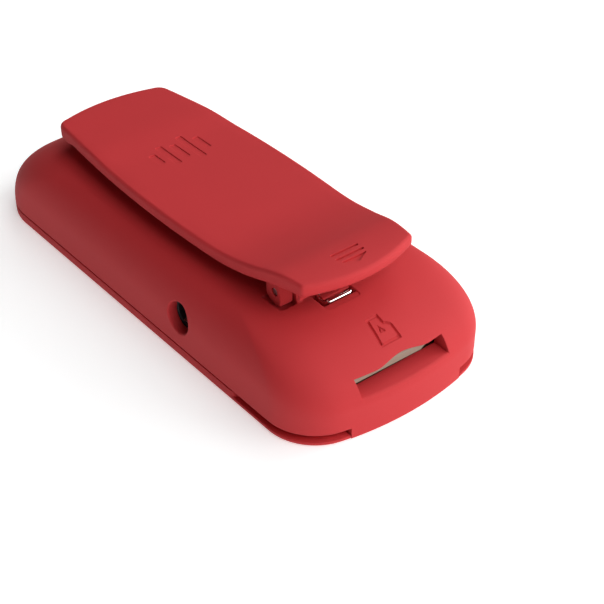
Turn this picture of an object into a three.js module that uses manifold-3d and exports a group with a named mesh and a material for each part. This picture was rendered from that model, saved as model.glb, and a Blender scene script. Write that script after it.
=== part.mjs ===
// Clip-on digital audio player, lying on its front face with the spring clip on top.
// Millimetres. X across the player, Y along it (card slot at the -Y end), Z up.
// The origin is on the resting plane, under the centre of the body.

import * as THREE from 'three';
import { mergeVertices } from 'three/addons/utils/BufferGeometryUtils.js';
import Module from 'manifold-3d';

const wasm = await Module();
wasm.setup();

// ---------------------------------------------------------------- driving dimensions

// Body shells. "Near" is the card-slot end (-Y) and "far" is the other end (+Y).
const BODY = { halfWidth: 13.6, near: -32.85, far: 32.85, height: 9.6 };
const NEAR_END = { sagitta: 2.45, corner: 6.3, crownStart: 3.8, crownInset: 12.1 };
const FAR_END = { sagitta: 1.5, corner: 8.3, crownStart: 1.2, crownInset: 12.4 };
const SIDE_CROWN = { start: 4.8, inset: 3.2 };
const WALL = 1.2;
const FLOOR = 1.2;
const PARTING = 1.4;
const SEAM = 0.1;
const FRONT_EDGE_RADIUS = 0.4;

// Hinge of the clip, along X.
const HINGE = { y: -18.9, z: 11.15, pinRadius: 0.42, holeRadius: 0.5, knuckleRadius: 1.15 };
const LUG = { outer: 7.2, inner: 5.5, near: -19.85, far: -17.45, bottom: 9.55 };
const LUG_RECESS = { outer: 7.45, inner: 5.3, near: -20.3, far: -16.95, floor: 9.1 };
const KNUCKLES = [[-5.3, -4.5], [2.8, 5.3]];

// Spring pocket in the back cover, shallow on its near side, with its hook tab.
const POCKET = { left: -3.4, right: 1.0, near: -23.1, far: -19.9, floor: 8.55 };
const POCKET_SHELF = { far: -22.35, floor: 9.2 };
const HOOK_TAB = { left: -1.9, right: 0.2, near: -21.45, far: -20.6, top: 9.5 };
const SPRING = {
  wireRadius: 0.32, coilRadius: 0.98, coilLength: 1.5, turns: 2,
  left: -2.35, right: 0.65, barY: -21.95, barZ: 9.3,
};

// Clip plate.
const CLIP_TOP = 12.9;
const CLIP_BOTTOM = 11.4;
const CLIP_NEAR = -25.5;
const CLIP_FAR = 24.9;

// Memory card slot.
const SLOT = { left: -6.4, right: 5.6, ledge: 4.82, top: 6.55, ledgeEnd: -30.0 };
const SCOOP = { half: 3.2, rise: 0.4 };
const CARD_GUIDE = { right: 3.3, face: -30.9, back: -30.1, bottom: 5.75, gap: 0.06 };
const SKIRT_HALF_WIDTH = 7.65;
const GROOVE = { bottom: 0.6, depth: 0.9, end: -19.5 };

// Ports in the side walls.
const JACK = {
  y: -9.8, z: 5.3, holeRadius: 1.87, boreRadius: 1.75, bossRadius: 2.2, recessRadius: 2.3, face: -12.6,
};
const USB = { y: -9.8, halfWidth: 3.75, bottom: 3.45, top: 5.95, wall: 0.25 };
const HOLD = { y: 8.0, z: 4.6, slotHalf: 2.3, slotHeight: 1.6, travel: 2.0 };

// Circuit board and front-face pieces.
const BOARD = { halfWidth: 11.6, near: -29.0, far: 28.5, bottom: 2.6, top: 3.4 };
const SCREW_SPOTS = [[-9.3, -27.4], [9.3, -27.4], [-9.5, 25.5], [9.5, 25.5]];
const WINDOW = { y: -18.2, halfWidth: 10.2, halfLength: 7.4, top: 0.9 };
const PANEL = { y: -18.2, halfWidth: 9.3, halfLength: 6.7 };
const PAD = { y: 13.0, playRadius: 3.0, ringInner: 4.0, ringOuter: 8.2, halfAngle: 0.66 };
const MENU_KEY = { y: -2.6, halfWidth: 3.4, halfLength: 1.3 };
const KEY = { face: 0.2, top: 1.75, flangeBottom: 1.32, flange: 0.4, gap: 0.2 };
const ARC_STEPS = 4;
const ROUND_STEPS = 20;

// ---------------------------------------------------------------- finishes

function finish(color, roughness, metalness = 0) {
  return new THREE.MeshStandardMaterial({ color, roughness, metalness });
}

const RED = finish(0xc8202a, 0.6);
const BLACK = finish(0x151517, 0.5);
const BEIGE = finish(0xb9a489, 0.6);
const STEEL = finish(0xb8b8bc, 0.3, 1);
const NICKEL = finish(0xa9a59d, 0.35, 1);
const GOLD = finish(0xd8b45a, 0.3, 1);
const GLASS = finish(0x101114, 0.1);
const FOAM = finish(0x2b2b2d, 0.9);
const AMBER = finish(0xb3742a, 0.5);
const BOARD_GREEN = finish(0x1d5a36, 0.5);
const POUCH = finish(0xb9bcc0, 0.4, 0.6);
const LEAD_RED = finish(0xc01818, 0.5);

// ---------------------------------------------------------------- solids

function toSolid(geometry) {
  const bare = geometry.index ? geometry.toNonIndexed() : geometry.clone();
  bare.deleteAttribute('normal');
  bare.deleteAttribute('uv');
  const merged = mergeVertices(bare, 1e-5);
  return new wasm.Manifold(new wasm.Mesh({
    numProp: 3,
    vertProperties: new Float32Array(merged.attributes.position.array),
    triVerts: new Uint32Array(merged.index.array),
  }));
}

function toGeometry(solid) {
  const mesh = solid.getMesh();
  const geometry = new THREE.BufferGeometry();
  geometry.setAttribute('position', new THREE.BufferAttribute(mesh.vertProperties, 3));
  geometry.setIndex(new THREE.BufferAttribute(mesh.triVerts, 1));
  geometry.computeVertexNormals();
  return geometry;
}

function join(first, ...others) {
  return others.reduce((total, other) => total.add(other), first);
}

function cut(first, ...others) {
  return others.reduce((rest, other) => rest.subtract(other), first);
}

function block([x0, x1], [y0, y1], [z0, z1]) {
  const geometry = new THREE.BoxGeometry(x1 - x0, y1 - y0, z1 - z0);
  geometry.translate((x0 + x1) / 2, (y0 + y1) / 2, (z0 + z1) / 2);
  return toSolid(geometry);
}

// Upright prism over an XY outline.
function prism(outline, [z0, z1]) {
  const geometry = new THREE.ExtrudeGeometry(outline, {
    depth: z1 - z0, bevelEnabled: false, curveSegments: ARC_STEPS,
  });
  geometry.translate(0, 0, z0);
  return toSolid(geometry);
}

// Prism along X over an outline drawn in Y and Z.
function prismAlongX(outline, [x0, x1], steps = ARC_STEPS) {
  const geometry = new THREE.ExtrudeGeometry(outline, {
    depth: x1 - x0, bevelEnabled: false, curveSegments: steps,
  });
  const turn = new THREE.Matrix4().makeBasis(
    new THREE.Vector3(0, 1, 0), new THREE.Vector3(0, 0, 1), new THREE.Vector3(1, 0, 0));
  geometry.applyMatrix4(turn);
  geometry.translate(x0, 0, 0);
  return toSolid(geometry);
}

function rodAlongX(radius, [x0, x1], y, z, steps = ROUND_STEPS) {
  const geometry = new THREE.CylinderGeometry(radius, radius, x1 - x0, steps);
  geometry.rotateZ(Math.PI / 2);
  geometry.translate((x0 + x1) / 2, y, z);
  return toSolid(geometry);
}

function rodAlongZ(radius, x, y, [z0, z1], steps = ROUND_STEPS) {
  const geometry = new THREE.CylinderGeometry(radius, radius, z1 - z0, steps);
  geometry.rotateX(Math.PI / 2);
  geometry.translate(x, y, (z0 + z1) / 2);
  return toSolid(geometry);
}

function roundedRectangle(halfWidth, halfLength, radius) {
  const shape = new THREE.Shape();
  const x = halfWidth - radius;
  const y = halfLength - radius;
  shape.moveTo(halfWidth, -y);
  shape.absarc(x, y, radius, 0, Math.PI / 2, false);
  shape.absarc(-x, y, radius, Math.PI / 2, Math.PI, false);
  shape.absarc(-x, -y, radius, Math.PI, 1.5 * Math.PI, false);
  shape.absarc(x, -y, radius, 1.5 * Math.PI, 2 * Math.PI, false);
  return shape;
}

// Round wire along a curve.
function wire(curve, radius, sides, steps) {
  const section = new THREE.Shape();
  section.absarc(0, 0, radius, 0, 2 * Math.PI, false);
  const geometry = new THREE.ExtrudeGeometry(section, {
    extrudePath: curve, steps, bevelEnabled: false, curveSegments: sides / 2,
  });
  return toSolid(geometry);
}

// ---------------------------------------------------------------- body outline

// One end of the plan outline: a shallow arc of the given sagitta, blended into straight sides
// by corner fillets. back is how far the fillet centres lie behind the apex of the arc, and
// swing is half the angle that the end arc covers.
function endArc(halfWidth, { sagitta, corner }) {
  const radius = (halfWidth ** 2 + sagitta ** 2) / (2 * sagitta);
  const across = halfWidth - corner;
  const along = Math.sqrt((radius - corner) ** 2 - across ** 2);
  return { radius, corner, back: radius - along, swing: Math.atan2(across, along) };
}

function bodyOutline(inset) {
  const halfWidth = BODY.halfWidth - inset;
  const nearY = BODY.near + inset;
  const farY = BODY.far - inset;
  const near = endArc(halfWidth, { ...NEAR_END, corner: NEAR_END.corner - inset * 0.8 });
  const far = endArc(halfWidth, { ...FAR_END, corner: FAR_END.corner - inset * 0.8 });
  const nearX = halfWidth - near.corner;
  const farX = halfWidth - far.corner;
  const quarter = Math.PI / 2;
  const shape = new THREE.Shape();
  shape.absarc(0, nearY + near.radius, near.radius, -quarter - near.swing, -quarter + near.swing, false);
  shape.absarc(nearX, nearY + near.back, near.corner, -quarter + near.swing, 0, false);
  shape.absarc(farX, farY - far.back, far.corner, 0, quarter - far.swing, false);
  shape.absarc(0, farY - far.radius, far.radius, quarter - far.swing, quarter + far.swing, false);
  shape.absarc(-farX, farY - far.back, far.corner, quarter + far.swing, 2 * quarter, false);
  shape.absarc(-nearX, nearY + near.back, near.corner, 2 * quarter, 3 * quarter - near.swing, false);
  return shape;
}

// Quarter-ellipse inset of a wall at height z.
function crownInset(z, start, inset, height) {
  const rise = THREE.MathUtils.clamp((z - start) / (height - start), 0, 1);
  return inset * (1 - Math.sqrt(1 - rise ** 2));
}

// Body block whose walls lean in over the sides and both ends up to a flat top.
function crownedBlock(inset, bottom, height, levels) {
  const geometry = new THREE.ExtrudeGeometry(bodyOutline(inset), {
    depth: 1, steps: levels, bevelEnabled: false, curveSegments: ARC_STEPS,
  });
  const halfWidth = BODY.halfWidth - inset;
  const near = BODY.near + inset;
  const far = BODY.far - inset;
  const position = geometry.attributes.position;
  for (let i = 0; i < position.count; i += 1) {
    const z = bottom + (height - bottom) * Math.sin(position.getZ(i) * Math.PI / 2);
    const side = crownInset(z, SIDE_CROWN.start, SIDE_CROWN.inset, height);
    const nearShift = crownInset(z, NEAR_END.crownStart, NEAR_END.crownInset, height);
    const farShift = crownInset(z, FAR_END.crownStart, FAR_END.crownInset, height);
    const along = (position.getY(i) - near) / (far - near);
    const x = position.getX(i) * (1 - side / halfWidth);
    const y = near + nearShift + along * (far - near - nearShift - farShift);
    position.setXYZ(i, x, y, z);
  }
  return toSolid(geometry);
}

// ---------------------------------------------------------------- engraved marks

const ENGRAVING = 0.2;
const CARD_MARK = {
  nearLeft: -1.7, farLeft: -1.1, right: 1.0, step: 0.4, near: -29.7, shoulder: -27.6, far: -26.45, line: 0.26,
};
const PRESS_MARK = { halfWidth: 1.85, bars: [-21.6, -22.5], line: 0.36, base: -23.1, tip: -24.0 };
const LEVEL_MARK = { y: 8.5, pitch: 1.6, width: 0.8, heights: [2.2, 4.4, 3.2, 5.4, 2.8] };

// Outline of a memory card, drawn as a thin closed line.
function cardMark() {
  const outline = (inset) => {
    const { nearLeft, farLeft, right, step, near, shoulder, far } = CARD_MARK;
    const corners = [
      [nearLeft + inset, near + inset],
      [right - inset, near + inset],
      [right - inset, shoulder - 0.3 - inset / 2],
      [step - inset, shoulder - inset / 2],
      [step - inset, far - inset],
      [farLeft + inset, far - inset],
    ];
    return new THREE.Shape(corners.map(([x, y]) => new THREE.Vector2(x, y)));
  };
  return cut(prism(outline(0), [6, 11]), prism(outline(CARD_MARK.line), [5, 12]));
}

// Two bars and a flat arrowhead that point at the lever end of the clip.
function pressMark(heights) {
  const { halfWidth, bars, line, base, tip } = PRESS_MARK;
  const arrow = new THREE.Shape();
  arrow.moveTo(halfWidth, base);
  arrow.lineTo(-halfWidth, base);
  arrow.lineTo(0, tip);
  const strokes = bars.map((y) => block([-halfWidth, halfWidth], [y - line / 2, y + line / 2], heights));
  return join(prism(arrow, heights), ...strokes);
}

// Generic row of level bars.
function levelMark(heights) {
  const { y, pitch, width } = LEVEL_MARK;
  const bars = LEVEL_MARK.heights.map((height, i) => {
    const x = (i - (LEVEL_MARK.heights.length - 1) / 2) * pitch;
    return block([x - width / 2, x + width / 2], [y - height / 2, y + height / 2], heights);
  });
  return join(...bars);
}

// ---------------------------------------------------------------- back cover

// Shallow arch over the middle of the slot, from y0 to y1, grown by the given amount.
function scoopArch(grow, [y0, y1]) {
  const arch = new THREE.Shape();
  const base = SLOT.top - 0.1;
  arch.absellipse(0, base, SCOOP.half + grow, SCOOP.rise + 0.1 + grow, 0, Math.PI, false, 0);
  const geometry = new THREE.ExtrudeGeometry(arch, {
    depth: y1 - y0, bevelEnabled: false, curveSegments: 6,
  });
  geometry.rotateX(Math.PI / 2);
  geometry.translate(0, y1, 0);
  return toSolid(geometry);
}

function slotCutter() {
  const mouth = block([SLOT.left, SLOT.right], [-35, SLOT.ledgeEnd], [SLOT.ledge, SLOT.top]);
  return mouth.add(scoopArch(0, [-35, SLOT.ledgeEnd]));
}

// Strip that fills the upper part of the slot and leaves the card its path underneath.
function cardGuide() {
  const { right, face, back, bottom, gap } = CARD_GUIDE;
  const strip = block([SLOT.left + gap, right], [face, back], [bottom, SLOT.top - gap]);
  const crest = scoopArch(-gap, [face, back]).intersect(block([-5, right], [face, back], [6, 8]));
  const surface = crownedBlock(0.15, PARTING, BODY.height - 0.15, 9);
  return strip.add(crest).intersect(surface);
}

function knuckle(span) {
  const barrel = rodAlongX(HINGE.knuckleRadius, span, HINGE.y, HINGE.z, 16);
  const web = block(span, [HINGE.y - HINGE.knuckleRadius, HINGE.y + HINGE.knuckleRadius], [8.6, HINGE.z]);
  return barrel.add(web);
}

function backCover() {
  const outer = crownedBlock(0, PARTING + SEAM / 2, BODY.height, 9);
  const inner = crownedBlock(WALL, 0, BODY.height - WALL, 8);
  const skirt = prism(bodyOutline(0), [0.05, PARTING + 0.5])
    .intersect(block([-SKIRT_HALF_WIDTH, SKIRT_HALF_WIDTH], [-34, -31.4], [0, 3]));
  const ledge = outer.intersect(block([-7.6, 7.6], [-34, SLOT.ledgeEnd], [3.0, SLOT.ledge]));
  const pocketFloor = outer.intersect(block([-4.6, 2.2], [-24.3, -18.8], [7.4, 9.2]));
  const shell = join(cut(outer.add(skirt), inner), ledge, pocketFloor, ...KNUCKLES.map(knuckle));
  const hookTab = block(
    [HOOK_TAB.left, HOOK_TAB.right], [HOOK_TAB.near, HOOK_TAB.far], [POCKET.floor - 1, HOOK_TAB.top]);
  const pocketShelf = block(
    [POCKET.left, POCKET.right], [POCKET.near, POCKET_SHELF.far], [POCKET.floor - 1, POCKET_SHELF.floor]);
  const pocket = cut(
    block([POCKET.left, POCKET.right], [POCKET.near, POCKET.far], [POCKET.floor, 10.5]),
    hookTab, pocketShelf);
  const lugRecess = (side) => block(
    side < 0 ? [-LUG_RECESS.outer, -LUG_RECESS.inner] : [LUG_RECESS.inner, LUG_RECESS.outer],
    [LUG_RECESS.near, LUG_RECESS.far], [LUG_RECESS.floor, 10.5]);
  const engraving = cut(cardMark(), crownedBlock(ENGRAVING, 1, BODY.height - ENGRAVING, 9));
  const usbHole = block([12.0, 15], [USB.y - 4.0, USB.y + 4.0], [USB.bottom - 0.25, USB.top + 0.25]);
  const holdHole = block([12.0, 15], [HOLD.y - HOLD.slotHalf, HOLD.y + HOLD.slotHalf],
    [HOLD.z - HOLD.slotHeight / 2, HOLD.z + HOLD.slotHeight / 2]);
  return cut(shell, slotCutter(), pocket, engraving, usbHole, holdHole, lugRecess(-1), lugRecess(1),
    rodAlongX(JACK.holeRadius, [-15, -12], JACK.y, JACK.z, 24),
    rodAlongX(JACK.recessRadius, [JACK.face - 0.05, -11], JACK.y, JACK.z, 24),
    rodAlongX(HINGE.holeRadius, [-6, 6], HINGE.y, HINGE.z, 16));
}

// ---------------------------------------------------------------- front cover and keys

function ringKeyOutline(grow) {
  const shape = new THREE.Shape();
  const swing = PAD.halfAngle + grow / 6;
  const outer = PAD.ringOuter + grow;
  const inner = PAD.ringInner - grow;
  shape.absarc(0, 0, outer, -swing, swing, false);
  shape.absarc(0, 0, inner, swing, -swing, true);
  return shape;
}

function playKeyOutline(grow) {
  const shape = new THREE.Shape();
  shape.absarc(0, 0, PAD.playRadius + grow, 0, Math.PI, false);
  shape.absarc(0, 0, PAD.playRadius + grow, Math.PI, 2 * Math.PI, false);
  return shape;
}

function menuKeyOutline(grow) {
  const length = MENU_KEY.halfLength + grow;
  return roundedRectangle(MENU_KEY.halfWidth + grow, length, length * 0.9);
}

// name, outline, place of its own origin, turn about Z, and where its dome switch stands
const RING_MIDDLE = (PAD.ringInner + PAD.ringOuter) / 2;
const KEYS = [
  { name: 'play', outline: playKeyOutline, y: PAD.y, turn: 0, reach: 0 },
  { name: 'menu', outline: menuKeyOutline, y: MENU_KEY.y, turn: 0, reach: 0 },
  { name: 'next', outline: ringKeyOutline, y: PAD.y, turn: 0, reach: RING_MIDDLE },
  { name: 'previous', outline: ringKeyOutline, y: PAD.y, turn: Math.PI, reach: RING_MIDDLE },
  { name: 'louder', outline: ringKeyOutline, y: PAD.y, turn: -Math.PI / 2, reach: RING_MIDDLE },
  { name: 'softer', outline: ringKeyOutline, y: PAD.y, turn: Math.PI / 2, reach: RING_MIDDLE },
];

function keySolid({ outline }) {
  const stem = prism(outline(0), [KEY.face, KEY.top]);
  const flange = prism(outline(KEY.flange), [KEY.flangeBottom, KEY.top]);
  return stem.add(flange);
}

function keyHole({ outline, y, turn }) {
  return prism(outline(KEY.gap), [-1, 3])
    .rotate([0, 0, THREE.MathUtils.radToDeg(turn)])
    .translate([0, y, 0]);
}

function frontFloor() {
  const bevelled = new THREE.ExtrudeGeometry(bodyOutline(FRONT_EDGE_RADIUS), {
    depth: 0.3,
    curveSegments: ARC_STEPS,
    bevelEnabled: true,
    bevelThickness: FRONT_EDGE_RADIUS,
    bevelSize: FRONT_EDGE_RADIUS,
    bevelSegments: 2,
  });
  bevelled.translate(0, 0, FRONT_EDGE_RADIUS);
  return toSolid(bevelled).add(prism(bodyOutline(0), [FRONT_EDGE_RADIUS + 0.1, PARTING - SEAM / 2]));
}

function frontCover() {
  const lip = prism(bodyOutline(WALL + 0.2), [0.9, 2.1]);
  const inside = prism(bodyOutline(WALL + 1.0), [FLOOR, 3]);
  const bosses = SCREW_SPOTS.map(([x, y]) => rodAlongZ(1.5, x, y, [0.9, BOARD.bottom - 0.05], 14));
  const pilotHoles = SCREW_SPOTS.map(([x, y]) => rodAlongZ(0.7, x, y, [FLOOR, 4], 12));
  const groove = cut(prism(bodyOutline(-1), [GROOVE.bottom, 2]), prism(bodyOutline(GROOVE.depth), [0, 3]))
    .intersect(block([-16, 16], [-36, GROOVE.end], [0, 3]));
  const skirtNotch = block([-SKIRT_HALF_WIDTH - 0.3, SKIRT_HALF_WIDTH + 0.3], [-36, -31.2], [-1, 3]);
  const windowSeat = prism(
    roundedRectangle(WINDOW.halfWidth + 0.15, WINDOW.halfLength + 0.15, 1.2), [-1, WINDOW.top])
    .translate([0, WINDOW.y, 0]);
  const windowHole = block([-9.0, 9.0], [WINDOW.y - 6.2, WINDOW.y + 6.2], [-1, 3]);
  const tray = join(cut(frontFloor().add(lip), inside), ...bosses);
  return cut(tray, groove, skirtNotch, windowSeat, windowHole, ...pilotHoles, ...KEYS.map(keyHole));
}

// Dome switch under a key: a flat can with a plunger facing down towards the key.
function domeSwitch() {
  const profile = [[0, 2.05], [0.7, 2.05], [0.9, 2.25], [1.0, 2.38], [1.6, 2.38], [1.6, 2.55], [0, 2.55]];
  const geometry = new THREE.LatheGeometry(profile.map(([x, y]) => new THREE.Vector2(x, y)), 12);
  geometry.rotateX(Math.PI / 2);
  return toSolid(geometry);
}

// ---------------------------------------------------------------- clip

function clipOutline() {
  const shape = new THREE.Shape();
  shape.moveTo(-7.55, -23.9);
  shape.quadraticCurveTo(0, 2 * CLIP_NEAR + 23.9, 7.55, -23.9);
  shape.quadraticCurveTo(10.95, -0.9, 7.9, 22.1);
  shape.quadraticCurveTo(7.75, 23.75, 6.3, 23.95);
  shape.quadraticCurveTo(0, 2 * CLIP_FAR - 23.95, -6.3, 23.95);
  shape.quadraticCurveTo(-7.75, 23.75, -7.9, 22.1);
  shape.quadraticCurveTo(-10.95, -0.9, -7.55, -23.9);
  return shape;
}

function clipProfile() {
  const shape = new THREE.Shape();
  shape.moveTo(27, CLIP_TOP - 0.1);
  shape.lineTo(23, CLIP_TOP - 0.05);
  shape.splineThru([
    new THREE.Vector2(19, CLIP_TOP + 0.07),
    new THREE.Vector2(14, CLIP_TOP + 0.19),
    new THREE.Vector2(9, CLIP_TOP),
  ]);
  shape.lineTo(-8.9, CLIP_TOP);
  shape.splineThru([
    new THREE.Vector2(-12.9, 13.11),
    new THREE.Vector2(-16.9, 13.82),
    new THREE.Vector2(-20.6, 14.68),
    new THREE.Vector2(-23.5, 14.78),
    new THREE.Vector2(-27, 14.4),
  ]);
  shape.lineTo(-27, 13.15);
  shape.splineThru([
    new THREE.Vector2(-23, 13.2),
    new THREE.Vector2(-20, 12.85),
    new THREE.Vector2(-15, 11.8),
    new THREE.Vector2(-10.5, CLIP_BOTTOM),
  ]);
  shape.lineTo(19.5, CLIP_BOTTOM);
  shape.lineTo(21.5, 10.95);
  shape.lineTo(27, 10.95);
  return shape;
}

function clipLug(side) {
  const span = side < 0 ? [-LUG.outer, -LUG.inner] : [LUG.inner, LUG.outer];
  const shape = new THREE.Shape();
  const corner = 0.3;
  shape.moveTo(LUG.near, 13.6);
  shape.lineTo(LUG.near, LUG.bottom + corner);
  shape.quadraticCurveTo(LUG.near, LUG.bottom, LUG.near + corner, LUG.bottom);
  shape.lineTo(LUG.far - 2 * corner, LUG.bottom);
  shape.quadraticCurveTo(LUG.far, LUG.bottom, LUG.far, LUG.bottom + 2 * corner);
  shape.lineTo(LUG.far, 13.0);
  return prismAlongX(shape, span, 3);
}

function gripTooth(y) {
  const shape = new THREE.Shape();
  shape.moveTo(y + 0.7, CLIP_BOTTOM + 0.2);
  shape.lineTo(y - 0.7, CLIP_BOTTOM + 0.2);
  shape.lineTo(y, BODY.height + 0.15);
  return prismAlongX(shape, [-4.5, 4.5]);
}

function clip() {
  const plate = prism(clipOutline(), [9, 17]).intersect(prismAlongX(clipProfile(), [-12, 12], 3));
  const rib = block([-7.2, 7.2], [-23.15, -22.75], [12.38, 13.9]);
  const teeth = [15.2, 17.0, 18.8].map(gripTooth);
  const pinHole = rodAlongX(HINGE.holeRadius, [-9, 9], HINGE.y, HINGE.z, 16);
  const lugs = cut(clipLug(-1).add(clipLug(1)), pinHole);
  const marks = pressMark([14.55, 16]).add(levelMark([CLIP_TOP - ENGRAVING, 16]));
  return cut(join(plate, rib, lugs, ...teeth), marks);
}

// Double torsion spring: two coils round the pin, one bar hooked in the body pocket and two
// legs under the lever end of the clip.
class SpringPath extends THREE.CurvePath {
  constructor() {
    super();
    const leftCoil = this.coil(SPRING.left, -SPRING.coilLength);
    const rightCoil = this.coil(SPRING.right, SPRING.coilLength);
    const legEnd = (x) => new THREE.Vector3(x, -22.3, 12.45);
    const bar = (x) => new THREE.Vector3(x, SPRING.barY, SPRING.barZ);
    const points = [
      legEnd(leftCoil.at(-1).x),
      ...leftCoil.reverse(),
      bar(SPRING.left),
      bar(SPRING.right),
      ...rightCoil,
      legEnd(rightCoil.at(-1).x),
    ];
    for (let i = 1; i < points.length; i += 1) {
      this.add(new THREE.LineCurve3(points[i - 1], points[i]));
    }
  }

  // Points of one coil, from the body leg at x out to the clip leg.
  coil(x, length) {
    const start = -2.4;
    const end = start - SPRING.turns * 2 * Math.PI - 2.0;
    const count = 26;
    return Array.from({ length: count }, (_, i) => {
      const share = i / (count - 1);
      const angle = start + share * (end - start);
      return new THREE.Vector3(
        x + share * length,
        HINGE.y + SPRING.coilRadius * Math.cos(angle),
        HINGE.z + SPRING.coilRadius * Math.sin(angle));
    });
  }
}

function hingeSpring() {
  const path = new SpringPath();
  const smooth = new THREE.CatmullRomCurve3(path.getSpacedPoints(70), false, 'centripetal');
  return wire(smooth, SPRING.wireRadius, 6, 110);
}

// ---------------------------------------------------------------- card socket

const SOCKET = {
  halfWidth: 6.95, mouth: -28.6, back: -15.0, floorMouth: -28.7, floorTop: 4.62, top: 6.15,
};
const SHEET = 0.25;

function socketShell() {
  const outside = block(
    [-SOCKET.halfWidth, SOCKET.halfWidth], [SOCKET.mouth, SOCKET.back], [3.5, SOCKET.top]);
  const inside = block([-SOCKET.halfWidth + SHEET, SOCKET.halfWidth - SHEET],
    [SOCKET.mouth - 1, SOCKET.back - SHEET], [3, SOCKET.top - SHEET]);
  return cut(outside, inside);
}

function socketBase() {
  const tray = block([-6.6, 6.6], [SOCKET.floorMouth, -15.4], [3.5, SOCKET.floorTop]);
  const contacts = [-3.6, -2.2, -0.8, 0.6, 2.0, 3.4].map((x) => (
    block([x - 0.25, x + 0.25], [-24.5, -19.5], [4.4, 5])));
  return cut(tray, ...contacts);
}

function cardSlider() {
  const rail = block([5.65, 6.5], [-26.5, -17.2], [4.8, 5.7]);
  const hook = block([3.4, 6.5], [-18.2, -17.2], [4.8, 5.7]);
  return rail.add(hook);
}

function cardSpring() {
  const turns = 4;
  const points = Array.from({ length: 8 * turns + 1 }, (_, i) => {
    const angle = i * Math.PI / 4;
    const y = -17.0 + 1.5 * i / (8 * turns);
    return new THREE.Vector3(5.9 + 0.36 * Math.cos(angle), y, 5.25 + 0.36 * Math.sin(angle));
  });
  return wire(new THREE.CatmullRomCurve3(points), 0.08, 4, 8 * turns);
}

// ---------------------------------------------------------------- ports and switch

function jackHousing() {
  const housing = block([-12.25, -0.6], [JACK.y - 3.1, JACK.y + 3.1], [JACK.z - 2.5, JACK.z + 2.4]);
  const insideCover = crownedBlock(WALL + 0.25, 1, BODY.height - WALL - 0.25, 8);
  const boss = rodAlongX(JACK.bossRadius, [JACK.face, -11], JACK.y, JACK.z, 24);
  return cut(housing.intersect(insideCover).add(boss),
    rodAlongX(JACK.boreRadius, [-13, -1.8], JACK.y, JACK.z, 20));
}

function jackContact() {
  const leaf = block([-12.3, -4.0], [JACK.y - 0.5, JACK.y + 0.5], [JACK.z - 1.5, JACK.z - 1.3]);
  const bump = rodAlongZ(0.4, -11.9, JACK.y, [JACK.z - 1.4, JACK.z - 1.05], 8);
  return leaf.add(bump);
}

function usbShell() {
  const outer = block([7.6, 13.2], [USB.y - USB.halfWidth, USB.y + USB.halfWidth], [USB.bottom, USB.top]);
  const inner = block(
    [7.6 + USB.wall, 15],
    [USB.y - USB.halfWidth + USB.wall, USB.y + USB.halfWidth - USB.wall],
    [USB.bottom + USB.wall, USB.top - USB.wall]);
  return cut(outer, inner);
}

function usbTongue() {
  const base = block([7.95, 9.2], [USB.y - 3.4, USB.y + 3.4], [USB.bottom + 0.35, USB.top - 0.35]);
  const blade = block([9.0, 12.6], [USB.y - 1.8, USB.y + 1.8], [4.5, 5.1]);
  return base.add(blade);
}

function holdSwitch() {
  const body = block([8.4, 11.7], [HOLD.y - 3.3, HOLD.y + 3.3], [3.5, 5.6]);
  return cut(body, block([10.5, 12], [HOLD.y - 2.0, HOLD.y + 2.0], [4.0, 5.2]));
}

// Knob at the unlocked end of its travel.
function holdKnob() {
  const y = HOLD.y - HOLD.travel / 2;
  const grip = block([11.9, 13.5], [y - 1.1, y + 1.1], [HOLD.z - 0.6, HOLD.z + 0.6]);
  const peg = block([10.7, 12.0], [y - 0.6, y + 0.6], [HOLD.z - 0.4, HOLD.z + 0.4]);
  const groove = (offset) => block([13.3, 14], [y + offset - 0.12, y + offset + 0.12], [3, 6]);
  return cut(grip.add(peg), groove(-0.5), groove(0), groove(0.5));
}

// ---------------------------------------------------------------- board and battery

function circuitBoard() {
  const middle = (BOARD.near + BOARD.far) / 2;
  const outline = roundedRectangle(BOARD.halfWidth, (BOARD.far - BOARD.near) / 2, 3.0);
  const board = prism(outline, [BOARD.bottom, BOARD.top]).translate([0, middle, 0]);
  const jackNotch = block([-13, -0.3], [JACK.y - 3.4, JACK.y + 3.4], [2, 4]);
  const holes = SCREW_SPOTS.map(([x, y]) => rodAlongZ(0.8, x, y, [2, 4], 12));
  return cut(board, jackNotch, ...holes);
}

function battery() {
  const pouch = new THREE.ExtrudeGeometry(roundedRectangle(7.4, 12.5, 0.8), {
    depth: 2.6, curveSegments: 2, bevelEnabled: true, bevelThickness: 0.5, bevelSize: 0.5, bevelSegments: 2,
  });
  pouch.translate(0, 9.5, 4.4);
  return toSolid(pouch);
}

function batteryLead(top, landing) {
  const curve = new THREE.CatmullRomCurve3([
    new THREE.Vector3(-7.3, -4.7, top),
    new THREE.Vector3(-8.8, -4.65, top),
    new THREE.Vector3(-10.1, (-4.7 + landing) / 2, top - 0.8),
    new THREE.Vector3(-10.5, landing, 4.1),
    new THREE.Vector3(-10.5, landing, 3.5),
  ]);
  return wire(curve, 0.3, 6, 14);
}

// Flat cable from the display up to the board, an S bend drawn in Y and Z.
function displayFlex() {
  const shape = new THREE.Shape();
  const thickness = 0.12;
  shape.moveTo(-11.3, 1.9);
  shape.lineTo(-9.2, 1.9);
  shape.bezierCurveTo(-8.2, 1.9, -7.8, 2.35, -6.8, 2.35);
  shape.lineTo(-5.2, 2.35);
  shape.lineTo(-5.2, 2.35 + thickness);
  shape.lineTo(-6.8, 2.35 + thickness);
  shape.bezierCurveTo(-7.8, 2.35 + thickness, -8.2, 1.9 + thickness, -9.2, 1.9 + thickness);
  shape.lineTo(-11.3, 1.9 + thickness);
  return prismAlongX(shape, [-4, 4]);
}

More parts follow.
